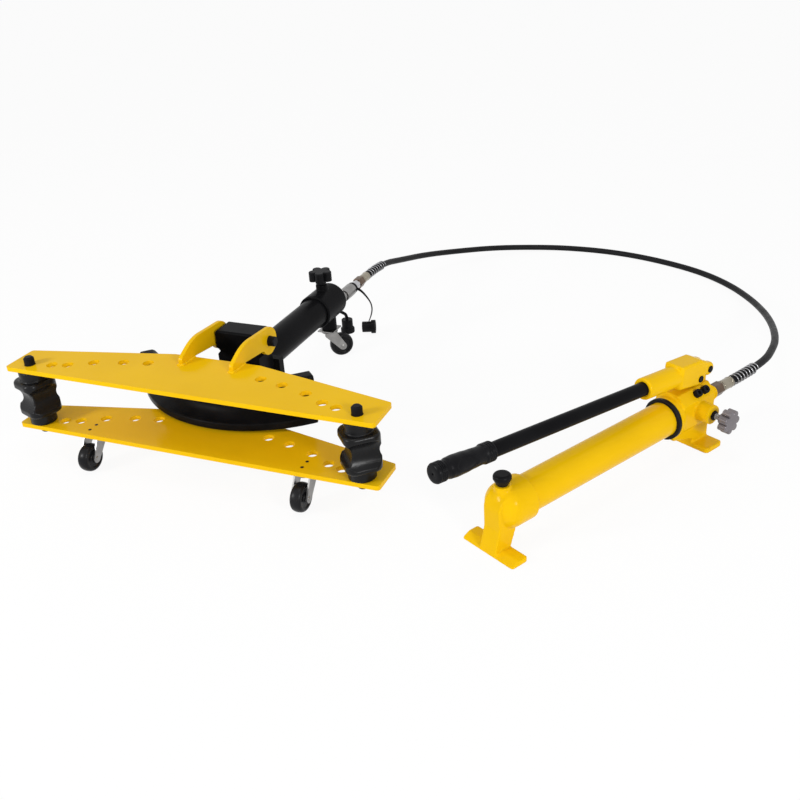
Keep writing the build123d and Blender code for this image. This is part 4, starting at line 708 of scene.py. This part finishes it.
# %% A row of rings
def string_rings(line, given):
    sockets = {"Curve": line, "Count": given["Rings"]}
    spots = line.node("GeometryNodeResampleCurve", {"mode": "COUNT"}, sockets)
    settings = {"mode": "RADIUS"}
    sockets = {"Resolution": 40, "Radius": given["Ring Radius"]}
    round_line = spots.node("GeometryNodeCurvePrimitiveCircle", settings, sockets)
    sockets = {"Resolution": 8, "Radius": given["Bead Radius"]}
    section = spots.node("GeometryNodeCurvePrimitiveCircle", settings, sockets)
    sockets = {"Curve": round_line, "Profile Curve": section}
    ring = spots.node("GeometryNodeCurveToMesh", {}, sockets)
    tangent = spots.node("GeometryNodeInputTangent")
    facing = spots.node("FunctionNodeAlignRotationToVector", {"axis": "Z"}, {"Vector": tangent})
    sockets = {"Points": spots, "Instance": ring, "Rotation": facing}
    return spots.node("GeometryNodeInstanceOnPoints", {}, sockets)


ring_sizes = {"Rings": "Int", "Ring Radius": "Float", "Bead Radius": "Float"}
ring_row = tree_along("ring_row", ring_sizes, string_rings)

# %% [markdown]
# The pump stands beside the bender at an angle, so places on it are given in a frame of its own and
# turned into the model's. There the rows are short straight lines: a lip at each end of a ferrule,
# eight turns of thread, and a keeper at each end of a pin.

# %% Crimps, thread and keeper rings
PUMP_TURN = Matrix.Rotation(math.radians(61.1), 4, "Z")
PUMP_PLACE = Matrix.Translation((0.5275, -0.0178, 0.0)) @ PUMP_TURN


def at_pump(x, y, z):
    """A point given in the pump's own frame, in metres, moved to the model's origin."""
    return at(*(PUMP_PLACE @ Vector((x, y, z))))


PORT_Z = 0.1085
PUMP_PORT_Y, PUMP_PORT_Z = -0.020, 0.091
LIPS_AT_BENDER, LIPS_AT_PUMP = (0.717, 0.739), (0.538, 0.560)
crimp_runs = [
    [at(0.0, y, PORT_Z) for y in LIPS_AT_BENDER],
    [at_pump(x, PUMP_PORT_Y, PUMP_PORT_Z) for x in LIPS_AT_PUMP],
]
crimp_sizes = {"Rings": 2, "Ring Radius": 0.0096, "Bead Radius": 0.0007, "Finish": bright_ferrule}
crimps = grown("ferrule_crimps", ring_row, edge_line("crimp_lines", crimp_runs), crimp_sizes)
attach(crimps, node_body["hose_ferrules"])

SPINDLE_X, SPINDLE_Z = 0.468, 0.076
THREAD_ENDS = (-0.061, -0.0706)
thread_run = [at_pump(SPINDLE_X, y, SPINDLE_Z) for y in THREAD_ENDS]
thread_sizes = {"Rings": 8, "Ring Radius": 0.0043, "Bead Radius": 0.00055, "Finish": zinc}
thread = grown("spindle_thread", ring_row, edge_line("thread_line", [thread_run]), thread_sizes)
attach(thread, node_body["release_spindle"])

LEVER_SIDE = 0.0197
FULCRUM, PLUNGER_PIN = (0.502, 0.137), (0.4775, 0.127)
pin_runs = [
    [at_pump(x, -LEVER_SIDE, z), at_pump(x, LEVER_SIDE, z)] for x, z in (FULCRUM, PLUNGER_PIN)
]
keeper_sizes = {"Rings": 2, "Ring Radius": 0.0051, "Bead Radius": 0.0010, "Finish": black_oxide}
keepers = grown("pin_keepers", ring_row, edge_line("pin_lines", pin_runs), keeper_sizes)
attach(keepers, node_body["lever_pins"])

# %% [markdown]
# The hinge arms are welded to the upper wing. A weld is a row of small pools that froze one after
# the other, so a row of flattened spheres with slightly different sizes, half sunk into both
# plates, gives its ripples under the paint.

# %% Welds
POOL_LEAST, POOL_MOST = (0.85, 0.85, 0.80), (1.12, 1.12, 1.05)
WELD_SEED = 7
WING_TOP = 0.184
ARM_INNER, ARM_OUTER = 0.0455, 0.0545
WELD_REAR, WELD_FRONT = 0.127, 0.0915


def lay_pools(line, given):
    sockets = {"Curve": line, "Length": given["Pool Step"]}
    spots = line.node("GeometryNodeResampleCurve", {"mode": "LENGTH"}, sockets)
    sockets = {"Radius": given["Pool Radius"], "Subdivisions": 2}
    pool = spots.node("GeometryNodeMeshIcoSphere", {}, sockets)
    sockets = {0: POOL_LEAST, 1: POOL_MOST, "Seed": WELD_SEED}
    size = spots.node("FunctionNodeRandomValue", {"data_type": "FLOAT_VECTOR"}, sockets)
    sockets = {"Points": spots, "Instance": pool, "Scale": size}
    return spots.node("GeometryNodeInstanceOnPoints", {}, sockets)


weld_run = tree_along("weld_run", {"Pool Step": "Float", "Pool Radius": "Float"}, lay_pools)
weld_lines = []
for side in (-1, 1):
    inner, outer = side * ARM_INNER, side * ARM_OUTER
    path = ((inner, WELD_REAR), (inner, WELD_FRONT), (outer, WELD_FRONT), (outer, WELD_REAR))
    weld_lines.append([at(x, y, WING_TOP) for x, y in path])
weld_sizes = {"Pool Step": 0.0014, "Pool Radius": 0.0031, "Finish": yellow_enamel}
welds = grown("arm_welds", weld_run, edge_line("weld_lines", weld_lines), weld_sizes)
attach(welds, node_body["hinge_arms"])

# %% [markdown]
# Plates are cut and then ground, so their edges are never knives, and light runs along them. A
# bevel needs clean edges, so a copy of the solid's mesh first has its loose triangles joined and
# its flat faces made whole. The knee and the toe of the hinge arms are rolled over wider than any
# other edge, and one arm is the mirror image of the other.

# %% Clean copies and rolled corners
SAME_POINT = 1e-6
SAME_FACE = math.radians(0.6)
ON_CORNER = 0.0005


def joined_copy(node, name):
    """A copy of a node's mesh as an object of its own, joined and without splits in flat faces."""
    mesh = nodes[node].data.copy()
    if "custom_normal" in mesh.attributes:
        mesh.attributes.remove(mesh.attributes["custom_normal"])
    surface = bmesh.new()
    surface.from_mesh(mesh)
    bmesh.ops.remove_doubles(surface, verts=surface.verts, dist=SAME_POINT)
    bmesh.ops.dissolve_limit(
        surface, angle_limit=SAME_FACE, verts=surface.verts, edges=surface.edges
    )
    surface.to_mesh(mesh)
    surface.free()
    piece = bpy.data.objects.new(name, mesh)
    bpy.context.collection.objects.link(piece)
    return piece


def mirror_right_half(piece):
    """Make the half of a piece left of the bender's middle the mirror image of the right one."""
    middle = at(0.0, 0.0, 0.0).x
    surface = bmesh.new()
    surface.from_mesh(piece.data)
    left = [vertex for vertex in surface.verts if vertex.co.x < middle]
    bmesh.ops.delete(surface, geom=left, context="VERTS")
    right = [*surface.verts, *surface.edges, *surface.faces]
    copied = bmesh.ops.duplicate(surface, geom=right)["geom"]
    for vertex in copied:
        if isinstance(vertex, bmesh.types.BMVert):
            vertex.co.x = 2.0 * middle - vertex.co.x
    turned = [face for face in copied if isinstance(face, bmesh.types.BMFace)]
    bmesh.ops.reverse_faces(surface, faces=turned)
    surface.to_mesh(piece.data)
    surface.free()


def roll_corner(piece, corner, reach):
    """Round off the edges that run along X at a (y, z) corner of a plate."""
    spot = at(0.0, *corner)
    surface = bmesh.new()
    surface.from_mesh(piece.data)
    rolled = []
    for edge in surface.edges:
        gaps = [(vertex.co - spot).yz.length for vertex in edge.verts]
        if max(gaps) < ON_CORNER:
            rolled.append(edge)
    shape = {"offset": reach, "segments": 8, "profile": 0.5, "affect": "EDGES"}
    bmesh.ops.bevel(surface, geom=rolled, clamp_overlap=True, **shape)
    surface.to_mesh(piece.data)
    surface.free()
    print(piece.name, "has", len(rolled), "corners rolled")


# %% [markdown]
# The Bevel modifier breaks every edge that turns by more than 30 degrees, and Weighted Normal keeps
# the large faces flat in their shading. One width for each piece is enough, from half a millimetre
# on thin sheet to more than two on a moulded knob.

# %% Plates and turned pieces with broken edges
EDGE_TURN = math.radians(30)
ARM_ROLLS = {(0.136, 0.217): 0.020, (0.092, 0.196): 0.006}


def edge_broken(node, width, segments=2):
    piece = joined_copy(node, f"{node}_dressed")
    if node == "hinge_arms":
        mirror_right_half(piece)
        for corner, reach in ARM_ROLLS.items():
            roll_corner(piece, corner, reach)
    piece.data.shade_smooth()
    bevel = piece.modifiers.new("break", "BEVEL")
    bevel.width = width
    bevel.segments = segments
    bevel.limit_method = "ANGLE"
    bevel.angle_limit = EDGE_TURN
    weighted = piece.modifiers.new("flat", "WEIGHTED_NORMAL")
    weighted.weight = 100
    return dress(settled(piece), node)


edge_widths = {
    "upper_wing": 0.0009,
    "lower_wing": 0.0009,
    "hinge_arms": 0.0010,
    "base_bracket": 0.0010,
    "head_block": 0.0014,
    "caster_plates": 0.0005,
    "caster_fork_left": 0.0006,
    "caster_fork_right": 0.0006,
    "caster_fork_rear": 0.0006,
    "hose_nuts": 0.0010,
    "hose_ferrules": 0.0009,
    "coupler_female": 0.0010,
    "coupler_sleeve": 0.0010,
    "coupler_male": 0.0008,
    "cap_rings": 0.0008,
    "valve_plugs": 0.0008,
    "release_gland": 0.0008,
    "reservoir_gasket": 0.0016,
    "dust_cap_female": 0.0010,
    "dust_cap_male": 0.0010,
    "lever_pins": 0.0010,
}
dressed = {node: edge_broken(node, width) for node, width in edge_widths.items()}
rounded_widths = {"collar_knob": 0.0022, "release_knob": 0.0018, "vent_cap": 0.0016}
for node, width in rounded_widths.items():
    dressed[node] = edge_broken(node, width, segments=4)
print("edges broken on", len(dressed), "pieces")

# %% [markdown]
# The pump's head and front cap, the lever's socket, the die, the rollers and the rear collar are
# castings: every corner is round, inside and out, because metal has to flow and a mould has to let
# go. A voxel remesh gives an even skin, and a few rounds of smoothing roll the corners over, which
# no bevel does where several ribs and bosses meet.


# %% Castings
def cast(node, voxel, rounds, reshape=None):
    piece = joined_copy(node, f"{node}_dressed")
    remesh = piece.modifiers.new("skin", "REMESH")
    remesh.mode = "VOXEL"
    remesh.voxel_size = voxel
    smooth = piece.modifiers.new("flow", "SMOOTH")
    smooth.factor = 0.5
    smooth.iterations = rounds
    settled(piece)
    if reshape:
        reshape(piece.data)
    piece.data.materials.clear()
    piece.data.materials.append(node_finish[node])
    piece.data.shade_smooth()
    print(node, len(piece.data.polygons), "faces")
    return dress(piece, node)


castings = {
    "pump_front_cap": (0.0012, 9),
    "pump_head": (0.0012, 9),
    "lever_head": (0.0011, 9),
    "roller_left": (0.0010, 7),
    "roller_right": (0.0010, 7),
    "bending_die": (0.0018, 4),
    "rear_collar": (0.0012, 4),
}
for node, (voxel, rounds) in castings.items():
    dressed[node] = cast(node, voxel, rounds)

# %% [markdown]
# The caster wheels are moulded with a crowned tread, so that they roll on a narrow line and turn
# easily. After the same remesh, each point of the rim is pulled in by the square of its distance
# from the wheel's middle plane. The joint of each wheel tells where its axle lies. The axle's heads
# are pressed down to low round rivets in the same way: each hexagon gives up its corners.

# %% Caster wheels and rivets
WHEEL_R, WHEEL_HALF, RIM_START = 0.025, 0.010, 0.0175
CROWN = 0.0022
WHEEL_VOXEL, AXLE_VOXEL, ROUNDS = 0.0008, 0.0005, 3
LEG_OUT, HEAD_H, HEAD_ROLL = 0.0152, 0.004, 0.0008
RIVET_H, RIVET_FOOT, RIVET_TOP = 0.0011, 0.80, 0.45
UPWARD, SIXTH = Vector((0.0, 0.0, 1.0)), math.tau / 6
joints = {joint["name"]: joint for joint in frame["record"]["behaviour"]["joints"]}


def round_axle(joint, shift):
    """A change of a mesh that moves each point along and off the axle, as shift says."""
    centre, axle = Vector(joint["pos_m"]), Vector(joint["axis"]).normalized()

    def reshape(mesh):
        for vertex in mesh.vertices:
            arm = vertex.co - centre
            along = arm.dot(axle)
            out = arm - along * axle
            new_along, new_radius = shift(along, out.length, out.angle(UPWARD, 0.0))
            vertex.co = centre + new_along * axle + new_radius * out.normalized()

    return reshape


def crown(along, radius, turn):
    """Pull the rim in towards both sides of the wheel; the turn round the axle doesn't matter."""
    near_rim = max(0.0, (radius - RIM_START) / (WHEEL_R - RIM_START))
    return along, radius - near_rim * CROWN * (along / WHEEL_HALF) ** 2


def rivet(along, radius, turn):
    """Press what stands out past the fork's leg into a low, round head."""
    past_leg = abs(along) - LEG_OUT
    if past_leg < -HEAD_ROLL:
        return along, radius
    share = max(0.0, past_leg / HEAD_H)
    flat = math.copysign(LEG_OUT + min(past_leg, share * RIVET_H), along)
    corner = math.cos((turn + SIXTH / 2) % SIXTH - SIXTH / 2)
    return flat, radius * corner * (RIVET_FOOT - (RIVET_FOOT - RIVET_TOP) * share)


for side in ("left", "right", "rear"):
    spin = joints[f"{side}_wheel_spin"]
    wheel, pin = f"caster_wheel_{side}", f"caster_axle_{side}"
    dressed[wheel] = cast(wheel, WHEEL_VOXEL, ROUNDS, round_axle(spin, crown))
    dressed[pin] = cast(pin, AXLE_VOXEL, ROUNDS, round_axle(spin, rivet))

# %% [markdown]
# The rubber grip is turned in the round, with fine ribs at both ends, a waist behind each and a
# belly that is fullest towards the free end. A thumb rest is pressed into its side. Sculpting it
# would be hard to repeat, so a radius in millimetres is worked out for each station along the axis,
# and the dent of the thumb rest is taken off it.

# %% Outline of the grip
GRIP_STATIONS = [
    (0.0, 12.6), (0.6, 14.6), (1.6, 15.3), (16.2, 15.4), (17.6, 14.9), (19.6, 13.8), (24.0, 13.7),
    (40.0, 14.5), (56.0, 15.7), (70.0, 16.2), (80.0, 15.6), (87.0, 14.2), (90.6, 13.9),
    (91.6, 15.0), (92.6, 15.4), (104.0, 15.4), (106.2, 14.5), (107.5, 12.6), (108.0, 10.0),
]
RIB_GROOVES = (4.6, 8.6, 12.6, 95.4, 98.4, 101.4)
GROOVE_HALF, GROOVE_DEPTH = 0.75, 1.1
THUMB_ANGLE, THUMB_SPREAD = math.radians(160), 0.62
THUMB_AT, THUMB_HALF = 55.0, 19.0
DENT_DEPTH, DENT_RIM, DENT_SLOPE = 0.9, 1.25, 0.35


def grip_radius(along):
    """The grip's radius in millimetres at a distance from its start, with its rib grooves."""
    for (x0, r0), (x1, r1) in zip(GRIP_STATIONS, GRIP_STATIONS[1:]):
        if x0 <= along <= x1:
            share = (along - x0) / (x1 - x0)
            share = share * share * (3.0 - 2.0 * share)
            radius = r0 + (r1 - r0) * share
            break
    groove = max(math.exp(-(((along - place) / GROOVE_HALF) ** 2)) for place in RIB_GROOVES)
    return radius - GROOVE_DEPTH * groove


def thumb_dent(along, angle):
    """How deep the thumb rest is pressed in at a station and an angle, in millimetres."""
    away = math.atan2(math.sin(angle - THUMB_ANGLE), math.cos(angle - THUMB_ANGLE))
    rest = (away / THUMB_SPREAD) ** 2 + ((along - THUMB_AT) / THUMB_HALF) ** 2
    return DENT_DEPTH * min(1.0, max(0.0, DENT_RIM - rest) / DENT_SLOPE)


# %% [markdown]
# Rings of points along the lever's axis, joined by bands of faces, make the skin of the grip. The
# last rings step into the small hole at the free end, and a face across each end closes the mesh.

# %% Grip
LEVER_RISE = math.radians(4.4)
GRIP_START, GRIP_LENGTH = 0.492, 108.0
END_HOLE = ((GRIP_LENGTH, 2.4), (107.8, 1.7), (106.0, 1.5))
MM = 0.001
SIDES = 72
STATIONS = 216


def grip_point(along, angle, radius):
    """A point on the grip, from its station, its angle round the axis and its radius in mm."""
    reach = GRIP_START + along * MM
    side, up = radius * MM * math.cos(angle), radius * MM * math.sin(angle)
    x = FULCRUM[0] - reach * math.cos(LEVER_RISE) + up * math.sin(LEVER_RISE)
    z = FULCRUM[1] + reach * math.sin(LEVER_RISE) + up * math.cos(LEVER_RISE)
    return at_pump(x, side, z)


def band(first, second):
    """The faces between two rings of points, from where each ring starts."""
    steps = [(j, (j + 1) % SIDES) for j in range(SIDES)]
    return [(first + j, first + n, second + n, second + j) for j, n in steps]


angles = [math.tau * j / SIDES for j in range(SIDES)]
points, faces = [], [tuple(range(SIDES))]
for k in range(STATIONS + 1):
    along = GRIP_LENGTH * k / STATIONS
    for angle in angles:
        radius = grip_radius(along) - thumb_dent(along, angle)
        points.append(grip_point(along, angle, radius))
    if k:
        faces.extend(band((k - 1) * SIDES, k * SIDES))
for depth, radius in END_HOLE:
    last = len(points) - SIDES
    points.extend(grip_point(depth, angle, radius) for angle in angles)
    faces.extend(band(last, last + SIDES))
faces.append(tuple(range(len(points) - SIDES, len(points))))
grip_mesh = bpy.data.meshes.new("grip")
grip_mesh.from_pydata(points, [], faces)
shade_outward(grip_mesh, sharp_turn=40)
grip_mesh.materials.append(grip_rubber)
grip = bpy.data.objects.new("lever_grip", grip_mesh)
bpy.context.collection.objects.link(grip)
dress(grip, "handle_grip")
print("grip made,", len(faces), "faces")

# %% [markdown]
# The hose and the straps stay the curves that were made above; nothing more is added to them.

# %% Hose and straps left as curves
print("hose and straps stay curves")

# %% [markdown]
# The floor is plain and pale. For the camera and for reflections it is mostly its own white, and a
# part of it is lit, which keeps a faint shadow under the machine. A floor that was only lit would
# be grey wherever less light falls.


# %% Floor
def seen_rays(tree):
    """1 for rays from the camera, from reflections and through glass, otherwise 0."""
    rays = tree.nodes.new("ShaderNodeLightPath").outputs
    kinds = ("Is Camera Ray", "Is Glossy Ray", "Is Transmission Ray")
    camera_ray, glossy_ray, through_ray = (Sock(tree, rays[kind]) for kind in kinds)
    return (camera_ray + glossy_ray + through_ray).between(0.0, 1.0)


FLOOR_HALF, FLOOR_Z = 14.0, -0.0002
WHITE_SHARE = 0.92
signs = ((-1, -1), (1, -1), (1, 1), (-1, 1))
corners = [(x * FLOOR_HALF, y * FLOOR_HALF, FLOOR_Z) for x, y in signs]
floor_mesh = bpy.data.meshes.new("floor")
floor_mesh.from_pydata(corners, [], [(0, 1, 2, 3)])
floor = bpy.data.objects.new("floor", floor_mesh)
bpy.context.collection.objects.link(floor)
floor_paint = bpy.data.materials.new("pale_floor")
floor_paint.use_nodes = True
floor_tree = floor_paint.node_tree
floor_shader = floor_tree.nodes["Principled BSDF"]
floor_shader.inputs["Base Color"].default_value = rgb(0.93, 0.93, 0.93)
floor_shader.inputs["Roughness"].default_value = 0.9
floor_seen = seen_rays(floor_tree) * WHITE_SHARE
sockets = {"Color": rgb(1.0, 1.0, 1.0), "Strength": 1.0}
own_white = floor_seen.node("ShaderNodeEmission", {}, sockets)
lit_part = Sock(floor_tree, floor_shader.outputs["BSDF"])
floor_mix = floor_seen.node("ShaderNodeMixShader", {}, {0: floor_seen, 1: lit_part, 2: own_white})
floor_tree.links.new(floor_mix.socket, floor_tree.nodes["Material Output"].inputs["Surface"])
floor_mesh.materials.append(floor_paint)
print("floor laid,", WHITE_SHARE, "of it its own white")

# %% [markdown]
# Three soft lamps stand above and on both sides in front. A wide area lamp gives soft shadows and
# long highlights along the rolled edges, where a point lamp would give hard spots.


# %% Lamps
def soft_light(name, place, target, size, power):
    lamp = bpy.data.lights.new(name, "AREA")
    lamp.shape = "SQUARE"
    lamp.size = size
    lamp.energy = power
    light = bpy.data.objects.new(name, lamp)
    light.location = place
    light.rotation_euler = (Vector(target) - Vector(place)).to_track_quat("-Z", "Y").to_euler()
    bpy.context.collection.objects.link(light)


soft_light("overhead", (0.0, -0.3, 2.6), target=(0.0, 0.0, 0.0), size=0.8, power=8.0)
soft_light("left_front", (-1.9, -2.1, 1.3), target=(0.0, 0.0, 0.1), size=0.5, power=36.0)
soft_light("right_front", (2.2, -1.8, 1.2), target=(0.2, 0.0, 0.1), size=0.5, power=35.0)
print("lamps set")

# %% [markdown]
# The background is white for the camera and for reflections, and dimmer for the light that it
# sheds, so that colours render about as they are written. The Standard view transform leaves them
# as they are.

# %% Background
LIGHT_SHED = 0.54
world = bpy.data.worlds.new("studio")
bpy.context.scene.world = world
world.use_nodes = True
sky = world.node_tree
backdrop = sky.nodes["Background"]
backdrop.inputs["Color"].default_value = rgb(1.0, 1.0, 1.0)
shed = seen_rays(sky) * (1.0 - LIGHT_SHED) + LIGHT_SHED
sky.links.new(shed.socket, backdrop.inputs["Strength"])
bpy.context.scene.view_settings.view_transform = "Standard"
print("background set, light shed", LIGHT_SHED)
